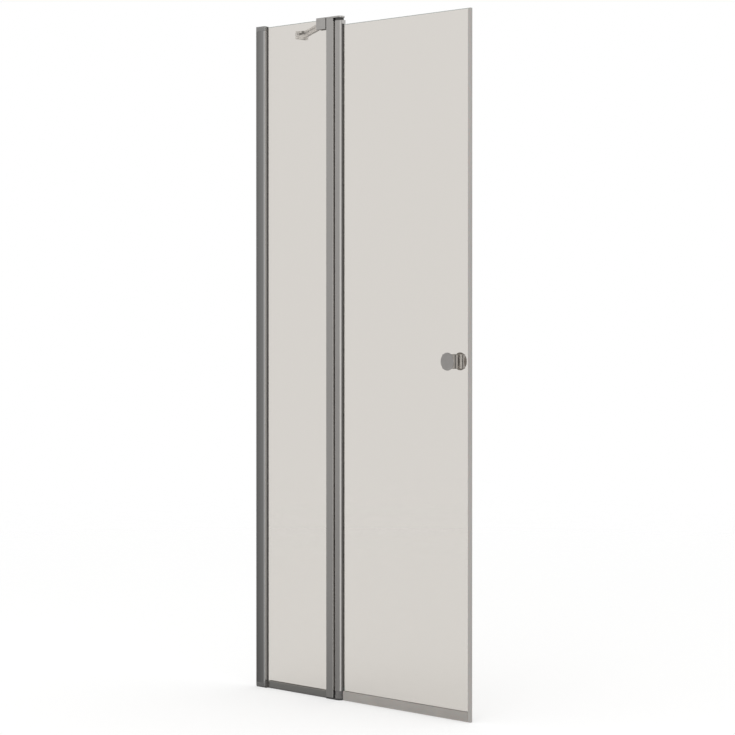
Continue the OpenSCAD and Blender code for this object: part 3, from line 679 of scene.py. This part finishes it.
def pane(name, outline, holes, low, high):
    mesh = meshOf(name, lambda w: addPrism(w, [outline, *holes], low, high, paneShape["arris"], 1, "Y"))
    piece = finished(name, mesh, "glass", "glassEdge", below=paneShape["smoothBelow"])
    for face in piece.data.polygons:
        face.material_index = 0 if abs(face.normal.y) > paneShape["flatAbove"] else 1
    return piece


low, high = reach("fixed_glass")
fixedGlass = pane("fixedGlass", bar(low[0], high[0], low[2], high[2], paneShape["corner"]), [], low[1], high[1])
standsFor(fixedGlass, "frame", "clear_glass", "fixed_glass")

low, high = reach("door_glass")
knobX, knobZ = middleOf("knob_stud")[::2]
notchX = reach("hinge_gasket_front")[1][0] + paneShape["notchGap"]
corner, notchTop = paneShape["corner"], paneShape["notchTop"]
outline = rounded([
    (notchX, low[2], corner), (high[0], low[2], corner), (high[0], high[2], corner), (low[0], high[2], corner),
    (low[0], notchTop, paneShape["notchRound"]), (notchX, notchTop, corner)], 4)
doorGlass = pane("doorGlass", outline, [circle(knobX, knobZ, paneShape["knobHole"], 48)], low[1], high[1])
standsFor(doorGlass, "door", "clear_glass", "door_glass")
print("panes made")


# bottom rail

railShape = dict(footRound=0.5, topRound=1.2, lipRound=0.3, slotHalf=4.6, floor=10.0, endSoft=0.2, stripRound=1.2)
r, half = railShape, railShape["slotHalf"]
low, high = reach("bottom_rail")
section = rounded([
    (-high[1], low[2], r["footRound"]), (high[1], low[2], r["footRound"]), (high[1], high[2], r["topRound"]),
    (half, high[2], r["lipRound"]), (half, r["floor"]), (-half, r["floor"]), (-half, high[2], r["lipRound"]),
    (-high[1], high[2], r["topRound"])], 5)
bottomRail = pushed("bottomRail", "satinAcross", section, low[0], high[0], "X")
softened(bottomRail, r["endSoft"])
standsFor(bottomRail, "frame", "satin_aluminium", "bottom_rail")

low, high = reach("rail_foot_strip")
section = rounded([
    (low[1], low[2], r["stripRound"]), (high[1], low[2], r["stripRound"]), (high[1], high[2]),
    (low[1], high[2])], 4)
standsFor(
    pushed("railFootStrip", "rubber", section, low[0], high[0], "X"), "frame", "black_rubber",
    "rail_foot_strip")
print("bottom rail made")


# hinge post, plates and their screws

postShape = dict(paneRound=2.0, tubeRound=2.0, lipRound=0.3, pocketHalf=5.0, pocket=14.5, endSoft=0.2)
p, half = postShape, postShape["pocketHalf"]
low, high = reach("post_profile")
mouth = low[0] + p["pocket"]
section = rounded(outside(low[0], high[0], high[1], p["paneRound"], p["tubeRound"]) + [
    (low[0], half, p["lipRound"]), (mouth, half), (mouth, -half), (low[0], -half, p["lipRound"])], 10)
hingePost = pushed("hingePost", "satinUp", section, low[2], high[2])
softened(hingePost, p["endSoft"])
standsFor(hingePost, "frame", "satin_aluminium", "post_profile")

plateShape = dict(
    paneRound=2.0, tubeRound=11.0, rim=0.4, bushHole=8.0, pinHole=5.03, screwHole=3.85, portIn=8.5, portOff=7.8)
p = plateShape
portX = high[0] - p["portIn"]  # the screws' ports are in the post
for node, name, finish, slot, bore in (
        ("top_hinge_plate", "topHingePlate", "chromeSoft", "chrome", p["bushHole"]),
        ("bottom_hinge_plate", "bottomHingePlate", "nylonDark", "dark_nylon", p["pinHole"])):
    low, high = reach(node)
    outline = rounded(outside(low[0], high[0], high[1], p["paneRound"], p["tubeRound"]), 8)
    holes = [circle(0, 0, bore, 48)]
    holes += [circle(portX, side * p["portOff"], p["screwHole"], 32) for side in (-1, 1)]
    standsFor(prism(name, finish, [outline, *holes], low[2], high[2], p["rim"]), "frame", slot, node)

screwShape = dict(
    headRadius=3.8, headHeight=2.2, headRound=0.25, shankRadius=1.85, shankRound=0.3, length=20.0, tip=2.0,
    socket=1.4, socketDepth=1.2, turnEach=0.5, seed=4)


def plateScrew(name, flip):
    s = screwShape
    body = turned(name, "steel", [
        (0, 0), (s["headRadius"], 0, s["headRound"]), (s["shankRadius"], -s["headHeight"], s["shankRound"]),
        (s["shankRadius"], -s["length"] + s["tip"], s["shankRound"]), (0, -s["length"])], (0, 0, 0), "Z", 32)
    drilled(body, [prism("key", "steel", [circle(0, 0, s["socket"], 6, False)], -s["socketDepth"], 1, 0)])
    if flip:
        body.data.transform(Matrix.Rotation(math.pi, 4, "X"))
    return body


for node, name, flip in (("top_plate_screws", "topPlateScrews", False),
                         ("bottom_plate_screws", "bottomPlateScrews", True)):
    low, high = reach(node)
    level = low[2] if flip else high[2]
    screws = row(name, plateScrew(name, flip), "steel", 2, (portX, -plateShape["portOff"], level),
                 (0, 2 * plateShape["portOff"], 0), (0, 0, screwShape["turnEach"]), screwShape["seed"])
    standsFor(screws, "frame", "steel", node)
print("post and plates made")


# pivot: foot, tube, lid and glazing strips

footShape = dict(radius=14.0, footRound=0.2, lip=0.8, bore=5.03, boreRound=0.1)
f = footShape
low, high = reach("bearing_foot")
foot = turned("bearingFoot", "nylon", [
    (f["bore"], low[2], f["boreRound"]), (f["radius"], low[2], f["footRound"]), (f["radius"], high[2], f["lip"]),
    (f["bore"], high[2], f["boreRound"])], (0, 0, 0), "Z", 64)
standsFor(foot, "frame", "dark_nylon", "bearing_foot")

tubeShape = dict(
    radius=14.0, steps=72, neckHalf=6.5, noseHalf=7.5, neckX=15.0, neckRound=1.0, slotHalf=4.6, slotX=7.5,
    slotRound=0.2, well=12.5, wellDepth=4.8, wellCut=8.0, endSoft=0.2)


def tubeOutline(tip, slotted):  # the neck covers the front strip only, the lid covers both strips
    t = tubeShape
    wide, slot = t["neckHalf"] if slotted else t["noseHalf"], t["slotHalf"]
    first, last = math.asin((slot if slotted else wide) / t["radius"]), 2 * math.pi - math.asin(wide / t["radius"])
    around = [Vector((t["radius"] * math.cos(a), t["radius"] * math.sin(a)))
              for a in (first + (last - first) * k / t["steps"] for k in range(t["steps"] + 1))]
    neck = [(tip, -wide, t["neckRound"])]
    if slotted:
        neck += [(tip, -slot, t["slotRound"]), (t["slotX"], -slot), (t["slotX"], slot)]
    else:
        neck += [(tip, wide, t["neckRound"])]
    return around + rounded([tuple(around[-1])] + neck + [tuple(around[0])], 5)[1:-1]


low, high = reach("hinge_tube")
hingeTube = pushed("hingeTube", "satinUp", tubeOutline(tubeShape["neckX"], True), low[2], high[2])
drilled(hingeTube, [drill(
    "satinUp", tubeShape["well"], 0, tubeShape["wellCut"], (0, 0, high[2] - tubeShape["wellDepth"]), "Z", 64)])
softened(hingeTube, tubeShape["endSoft"])
standsFor(hingeTube, "door", "satin_aluminium", "hinge_tube")

capShape = dict(plate=2.0, rim=0.35, noseFrom=15.03, noseRound=0.3, noseTip=1.0, noseIntoLid=0.5)
c, half = capShape, tubeShape["noseHalf"]
low, high = reach("hinge_top_cap")
tubeTop = high[2] - c["plate"]
lid = prism(
    "lid", "chromeSoft", [tubeOutline(high[0], False), circle(0, 0, tubeShape["well"], 64)], tubeTop, high[2],
    c["rim"])
nose = prism("nose", "chromeSoft", [
    rounded(outside(c["noseFrom"], high[0], half, c["noseRound"], c["noseTip"]), 4)],
    low[2], tubeTop + c["noseIntoLid"])
standsFor(oneMesh("hingeTopCap", [lid, nose], "chromeSoft"), "door", "chrome", "hinge_top_cap")

hingeStrip = dict(
    lip=0.6, lipRound=0.3, beadFrom=3.6, beadRound=0.4, backIn=0.3, shoulder=5.0, shoulderIn=0.4,
    shoulderRound=0.6, outer=5.6, outerIn=1.4, outerRound=0.5)
h, slot, neck = hingeStrip, tubeShape["slotHalf"], tubeShape["neckX"]
for node, name, side, finish, material in (
        ("hinge_gasket_front", "hingeGasketFront", -1, "rubber", "black_rubber"),
        ("hinge_gasket_back", "hingeGasketBack", 1, "clearVinyl", "clear_vinyl")):
    low, high = reach(node)
    strip = [(low[0], glassHalf), (high[0] - h["lip"], glassHalf, h["lipRound"]),
             (high[0], h["beadFrom"], h["beadRound"])]
    if side > 0:
        strip += [(high[0] - h["backIn"], slot, h["beadRound"]), (low[0], slot)]
    else:  # the front strip also covers the end of the neck
        strip += [(high[0] - h["shoulderIn"], h["shoulder"], h["shoulderRound"]),
                  (high[0] - h["outerIn"], h["outer"], h["outerRound"]), (neck, h["outer"]), (neck, slot),
                  (low[0], slot)]
        strip = [(p[0], -p[1], *p[2:]) for p in reversed(strip)]
    standsFor(pushed(name, finish, rounded(strip, 5), low[2], high[2]), "door", material, node)
print("hinge tube made")


# door seals

sweepShape = dict(footRound=0.6, shoulder=2.5, shoulderRound=1.0, topIn=1.2, topRound=0.6, slotFloor=12.0)
s = sweepShape
low, high = reach("door_sweep")
half, shoulder, top = high[1], high[2] - s["shoulder"], high[1] - s["topIn"]
section = rounded([
    (-half, low[2], s["footRound"]), (half, low[2], s["footRound"]), (half, shoulder, s["shoulderRound"]),
    (top, high[2], s["topRound"]), (glassHalf, high[2]), (glassHalf, s["slotFloor"]),
    (-glassHalf, s["slotFloor"]), (-glassHalf, high[2]), (-top, high[2], s["topRound"]),
    (-half, shoulder, s["shoulderRound"])], 4)
standsFor(pushed("doorSweep", "vinyl", section, low[0], high[0], "X"), "door", "grey_vinyl", "door_sweep")

lipShape = dict(
    toe=1.2, toeRound=0.4, root=2.4, rootDrop=2.2, rootRound=1.0, bladeFrom=0.4, bladeRound=0.8,
    bladeFoot=(0.2, 1.5), bladeLift=0.6, bladeFootRound=0.3, sideDrop=1.0, sideRound=0.6)
s = lipShape
low, high = reach("door_sweep_lip")
half, root, lift = high[1], high[2] - s["rootDrop"], low[2] + s["bladeLift"]
section = leftward(rounded([
    (-half, high[2]), (-half, low[2], s["toeRound"]), (-half + s["toe"], low[2], s["toeRound"]),
    (-half + s["root"], root, s["rootRound"]), (-s["bladeFrom"], root, s["bladeRound"]),
    (s["bladeFoot"][0], lift, s["bladeFootRound"]), (s["bladeFoot"][1], lift, s["bladeFootRound"]),
    (half, high[2] - s["sideDrop"], s["sideRound"]), (half, high[2])], 4))
standsFor(pushed("doorSweepLip", "vinyl", section, low[0], high[0], "X"), "door", "grey_vinyl", "door_sweep_lip")

sealShape = dict(paneRound=0.5, edgeRound=1.0, slot=4.5)
s = sealShape
low, high = reach("strike_seal")
slotEnd = low[0] + s["slot"]
section = rounded(outside(low[0], high[0], high[1], s["paneRound"], s["edgeRound"]) + [
    (low[0], glassHalf), (slotEnd, glassHalf), (slotEnd, -glassHalf), (low[0], -glassHalf)], 5)
standsFor(prism("strikeSeal", "vinylUp", [section], low[2], high[2]), "door", "grey_vinyl", "strike_seal")
print("door seals made")


# knob

knobShape = dict(
    stud=4.03, blockHalf=20.0, blockRound=1.5, rim=0.5, baseFrom=4.0, baseTo=13.0, groove=17.0, grooveWide=3.2,
    ringGap=0.02, ringRound=0.1, ringIntoBlock=1.0, radius=25.0, reach=27.0, disc=1.6, discBack=0.3,
    discFront=0.7, dish=0.2, dishIn=2.5, dishRound=0.3, flatIn=2.2, flatRound=0.4, segments=96, grubHole=2.03,
    grubHoleFrom=-22.0, grubHoleTo=-3.0)


def knobSlab(name, side, low, high, finish="chrome"):  # the square block between two distances from the pane
    k = knobShape
    half = k["blockHalf"]
    outline = [p + Vector((knobX, knobZ)) for p in bar(-half, half, -half, half, k["blockRound"])]
    levels = (low, high) if side > 0 else (-high, -low)
    return prism(name, finish, [outline, circle(knobX, knobZ, k["stud"], 40)], *levels, k["rim"], 3, "Y")


def knobTurned(name, finish, side, line):  # line is (radius, distance from the pane, rounding)
    line = [(p[0], side * p[1], *p[2:]) for p in line]
    return turned(name, finish, line, (knobX, 0, knobZ), "Y", knobShape["segments"], 0.2, 4)


def knobHead(side):
    k = knobShape
    ring, neck, disc = k["baseTo"] + k["ringGap"], k["baseTo"] + k["grooveWide"], k["reach"] - k["disc"]
    ringTop, dish = neck + k["ringIntoBlock"], k["reach"] - k["dish"]
    neckRing = knobTurned("neck", "rubber", side, [
        (k["stud"], ring, k["ringGap"]), (k["groove"], ring, k["ringRound"]),
        (k["groove"], ringTop, k["ringRound"]), (k["stud"], ringTop, k["ringRound"])])
    face = knobTurned("face", "chrome", side, [
        (0, disc), (k["radius"], disc, k["discBack"]), (k["radius"], k["reach"], k["discFront"]),
        (k["radius"] - k["flatIn"], k["reach"], k["flatRound"]),
        (k["radius"] - k["dishIn"], dish, k["dishRound"]), (0, dish)])
    return neckRing, knobSlab("slab", side, neck, disc), face


grubY = middleOf("knob_grub_screw")[1]
for side, place in ((-1, "Front"), (1, "Back")):
    neckRing, slab, face = knobHead(side)
    if side > 0:  # room for the grub screw, on the underside
        drilled(slab, [drill(
            "chrome", knobShape["grubHole"], knobShape["grubHoleFrom"], knobShape["grubHoleTo"],
            (knobX, grubY, knobZ), "Z")])
    standsFor(oneMesh("knob" + place + "Head", [slab, face, neckRing], "chrome", "rubber"), "door", "chrome",
              "knob_" + place.lower() + "_head")
    # the back base takes the paler, half-matt cast finish and the front one chrome: painted light, lifting the
    # back base out of its shade behind the pane
    standsFor(knobSlab(
        "knob" + place + "Base", side, knobShape["baseFrom"], knobShape["baseTo"],
        "paleCast" if side > 0 else "chrome"), "door", "chrome", "knob_" + place.lower() + "_base")
print("knob made")


# brace: clamp block, bar and wall flange

braceShape = dict(
    rim=0.7, earRadius=8.0, earRim=0.8, eyeRadius=7.5, barThick=8.0, barRim=0.6, flangeEar=12.0, pin=3.03,
    forkGap=1.5, forkRoot=8.0, forkOver=2.0, forkWide=1.2, play=0.3, tongueUp=10.0, tongueThick=4.0, relief=4.0,
    reliefHalf=20.0)
clampShape = dict(
    front=-14.0, back=10.0, slotHalf=4.0, bridge=4.0, leftOfPin=4.0, earRoot=9.0, grubIn=3.0, grubHole=3.03,
    grubHoleFrom=3.0, grubHoleTo=12.0)
b, c, half = braceShape, clampShape, clampShape["slotHalf"]
low, high = reach("brace_block")
pin, barEnds = middleOf("brace_pin")[:2], reach("brace_bar")
barLow, barHigh = barEnds[0][2], barEnds[1][2]
tongue = (barLow + b["tongueUp"], barLow + b["tongueUp"] + b["tongueThick"])
footZ, topZ, slotTop = low[2], high[2], high[2] - c["bridge"]
section = [Vector(p) for p in (
    (c["front"], footZ), (-half, footZ), (-half, slotTop), (half, slotTop), (half, footZ), (c["back"], footZ),
    (c["back"], topZ), (c["front"], topZ))]
body = pushed("body", "chromeSoft", section, pin[0] - c["leftOfPin"], high[0], "X")
jawLow, jawHigh = reach("brace_grub_screws")
jawZ = middleOf("brace_grub_screws")[2]
drilled(body, [drill("steel", c["grubHole"], c["grubHoleFrom"], c["grubHoleTo"], (x, 0, jawZ), "Y")
               for x in (jawLow[0] + c["grubIn"], jawHigh[0] - c["grubIn"])])
softened(body, b["rim"], 3, 40)


def fork(centre, away, radius, low, high, finish, relief=False):
    # round-ended lug that reaches back by away, slotted for the bar's tongue
    b, c, back = braceShape, Vector(centre), Vector(away)
    out = back.normalized()
    side = Vector((-out.y, out.x)) * radius
    nose = arc(c, radius, math.atan2(-side.y, -side.x), -math.pi, 32)
    loop = leftward(nose + [c + side + back, c - side + back])
    lug = prism("lug", finish, [loop, circle(*c, b["pin"], 32)], low, high, b["earRim"], 3)
    root, end, wide = c + out * b["forkRoot"], c - out * (radius + b["forkOver"]), side * b["forkWide"]
    corners = leftward([root + wide, root - wide, end - wide, end + wide])
    cutters = [prism("slot", finish, [corners], tongue[0] - b["play"], tongue[1] + b["play"], 0)]
    if relief:
        cutters.append(drill(
            finish, b["relief"], -b["reliefHalf"], b["reliefHalf"], (root.x, root.y, sum(tongue) / 2), "Y", 40))
    return drilled(lug, cutters)


blockFork = fork(pin, (0, -(pin[1] - c["earRoot"])), b["earRadius"], barLow, barHigh, "chromeSoft")
standsFor(oneMesh("braceBlock", [body, blockFork], "chromeSoft"), "frame", "chrome", "brace_block")

farPin = middleOf("flange_pin")[:2]
run = Vector(farPin) - Vector(pin)
along, across = run.normalized(), Vector((-run.y, run.x)).normalized()
half = across * b["barThick"] / 2
bodyStart = Vector(pin) + along * (b["earRadius"] + b["forkGap"])
bodyEnd = Vector(farPin) - along * (b["flangeEar"] + b["forkGap"])
barBody = prism(
    "barBody", "paleCast", [[bodyStart - half, bodyEnd - half, bodyEnd + half, bodyStart + half]], barLow,
    barHigh, b["barRim"], 4)


def eyeEnd(centre, outward):
    # the round eye's outline, from one side of the bar to the other
    gape = math.asin(b["barThick"] / 2 / b["eyeRadius"])
    start = math.atan2(outward.y, outward.x) - (math.pi - gape)
    return arc(Vector(centre), b["eyeRadius"], start, 2 * (math.pi - gape), 28)


tongues = prism("tongues", "paleCast", [eyeEnd(farPin, along) + eyeEnd(pin, -along)], *tongue)
standsFor(oneMesh("braceBar", [barBody, tongues], "paleCast"), "brace", "chrome", "brace_bar")

flangeShape = dict(thick=4.0, half=23.5, corner=3.0, rim=0.6, holeHalf=18.0, hole=2.75, earIntoPlate=3.0)
f = flangeShape
low, high = reach("wall_flange")
wallX, flangeZ = low[0], middleOf("wall_flange")[2]
holes = [circle(farPin[1] + side * f["holeHalf"], flangeZ, f["hole"], 32) for side in (-1, 1)]
plateLoop = bar(farPin[1] - f["half"], farPin[1] + f["half"], low[2], high[2], f["corner"], 6)
flangePlate = prism("plate", "whiteCast", [plateLoop, *holes], wallX, wallX + f["thick"], f["rim"], 3, "X")
flangeFork = fork(
    farPin, (-(farPin[0] - wallX - f["earIntoPlate"]), 0), b["flangeEar"], low[2], high[2], "shadedCast", True)
wallFlange = oneMesh("wallFlange", [flangePlate, flangeFork], "whiteCast", "shadedCast")
# painted shadow: the upper ear alone keeps the dark cast finish, the rest of the flange is pale
for face in wallFlange.data.polygons:  # only the upper ear is dark
    face.material_index = 1 if face.material_index == 1 and face.center.z > tongue[1] * mm else 0
standsFor(wallFlange, "flange", "chrome", "wall_flange")
print("brace made")


# finishes of the solids that stay

kept = dict(
    wall_channel="millMetal", adjuster_screws="steel", adjuster_nuts="steel", rail_gasket="clearVinyl",
    post_gaskets="clearVinyl", post_lip_seal="rubberGrey", top_bush="nylonDark", pivot_pin="steel",
    lower_cam="nylon", brace_liner="rubber", brace_grub_screws="steel", brace_pin="steel", top_spindle="steel",
    spindle_clip="steel", upper_guide="nylon", lower_bush="nylon", upper_cam="nylon", magnet_strip="rubber",
    knob_stud="steel", knob_washers="clearVinyl", knob_sleeve="nylon", knob_grub_screw="steel", flange_pin="steel",
)
for node, finish in kept.items():
    solid = nodes[node]
    solid.data.materials.clear()
    solid.data.materials.append(finishes[finish])
print("solids dressed:", len(kept), "pieces made:", len(made))


# floor, in metres: pale, with a little light of its own to keep shadows faint, and fading out

floorShape = dict(radius=9.0, segments=96, fadeFrom=2.2, fadeTo=7.5, colour=(0.975, 0.975, 0.97), glow=0.4)
floorMesh = meshOf("floor", lambda w: bmesh.ops.create_circle(
    w, cap_ends=True, segments=floorShape["segments"], radius=floorShape["radius"]))
floorFinish, bench = newFinish("paleFloor")
place = bench.add("ShaderNodeTexCoord", out="Object")
away = bench.add("ShaderNodeVectorMath", {"operation": "LENGTH"}, {0: place}, "Value")
matte = bench.add("ShaderNodeBsdfDiffuse", {}, {"Color": (*floorShape["colour"], 1)})
lifted = bench.add("ShaderNodeEmission", {}, {"Color": (1, 1, 1, 1), "Strength": 1.0})
pale = bench.blended(floorShape["glow"], matte, lifted)
nothing = bench.add("ShaderNodeBsdfTransparent")
fade = bench.spread(away, floorShape["fadeFrom"], floorShape["fadeTo"])
floorMesh.materials.append(closed(floorFinish, bench, bench.blended(fade, pale, nothing)))
floor = placed("floor", floorMesh)
floor.visible_glossy = False


# light: matt faces are lit evenly, polished faces mirror a studio, and the camera sees plain white

studio = dict(
    # what polished faces mirror, by height of the direction, from straight down (0) to straight up (1)
    rise=[(0.0, 0.36), (0.36, 0.22), (0.400, 0.10), (0.4185, 0.13), (0.424, 0.27), (0.44, 0.285), (0.46, 0.30),
          (0.49, 0.315), (0.525, 0.35), (0.563, 0.41), (0.62, 0.44), (0.75, 0.30), (1.0, 0.26)],
    # soft panels round the room: heading and half width in degrees, light near the floor and high up
    panels=[(-23, 24, 0.46, 0.20), (44, 34, 0.20, 0.12), (164, 24, 0.10, 0.45)],
    panelCore=0.4, panelTop=0.13,  # share of the half width that is fully lit, and how high the change ends
    tint=(1.0, 0.985, 0.965), fill=1.0,
    softbox=dict(place=(2.2, -3.4, 3.6), aim=(0, 0, 1), size=2.4, power=30),  # metres and watts
)
world = bpy.data.worlds.new("studio")
bpy.context.scene.world = world
world.use_nodes = True
bench = Bench(world.node_tree)
heading = bench.add("ShaderNodeTexCoord", out="Generated")
split = bench.add("ShaderNodeSeparateXYZ", {}, {0: heading}).socket.node
dx, dy, dz = (Tap(world.node_tree, split.outputs[k]) for k in range(3))
mirrored = bench.add(
    "ShaderNodeValToRGB", {"stops": [(at, (v, v, v)) for at, v in studio["rise"]]}, {"Fac": dz * 0.5 + 0.5})
for facing, halfWidth, low, high in studio["panels"]:
    a = math.radians(facing)
    near = dx * math.cos(a) + dy * math.sin(a)
    core = halfWidth * studio["panelCore"]
    lift = bench.spread(near, math.cos(math.radians(halfWidth)), math.cos(math.radians(core)))
    mirrored = mirrored + lift * bench.spread(dz, 0.0, studio["panelTop"], low, high)
room = bench.add("ShaderNodeBackground", {}, {"Color": (*studio["tint"], 1), "Strength": mirrored})
even = bench.add("ShaderNodeBackground", {}, {"Color": (1, 1, 1, 1), "Strength": studio["fill"]})
seen = bench.add("ShaderNodeBackground", {}, {"Color": (1, 1, 1, 1), "Strength": 1.0})
path = bench.add("ShaderNodeLightPath").socket.node
toEye, fromGloss = (Tap(world.node_tree, path.outputs[key]) for key in ("Is Camera Ray", "Is Glossy Ray"))
lit = bench.blended(fromGloss, even, room)
bench.add("ShaderNodeOutputWorld", {}, {"Surface": bench.blended(toEye, lit, seen)})

box = studio["softbox"]
lamp = bpy.data.lights.new("softbox", "AREA")
lamp.shape, lamp.size, lamp.energy = "DISK", box["size"], box["power"]
softbox = placed("softbox", lamp)
softbox.location = box["place"]
softbox.rotation_euler = (Vector(box["aim"]) - Vector(box["place"])).to_track_quat("-Z", "Y").to_euler()
softbox.visible_camera = softbox.visible_glossy = False


# camera: its place in metres; focal length, eye line and picture in pixels; shift as a share of the picture

view = dict(
    place=(4.8545, -4.5918, 1.1279), heading=(-0.71807, 0.69597), focal=2283.8, eyeLine=314.4, shift=0.058,
    picture=735, sensor=36, clipEnd=100)
lens = bpy.data.cameras.new("camera")
lens.sensor_width = view["sensor"]
lens.lens = view["focal"] / view["picture"] * view["sensor"]
lens.shift_y = -view["shift"]
lens.clip_end = view["clipEnd"]
camera = placed("camera", lens)
drop = math.atan((view["picture"] / 2 - view["eyeLine"] - view["shift"] * view["picture"]) / view["focal"])
ahead = Vector((*view["heading"], 0)).normalized() * math.cos(drop) - Vector((0, 0, math.sin(drop)))
camera.location = view["place"]
camera.rotation_euler = ahead.to_track_quat("-Z", "Y").to_euler()
bpy.context.scene.camera = camera
bpy.context.scene.view_settings.view_transform = "Standard"
bpy.context.scene.view_settings.look = "None"
print("stage, light and camera set")
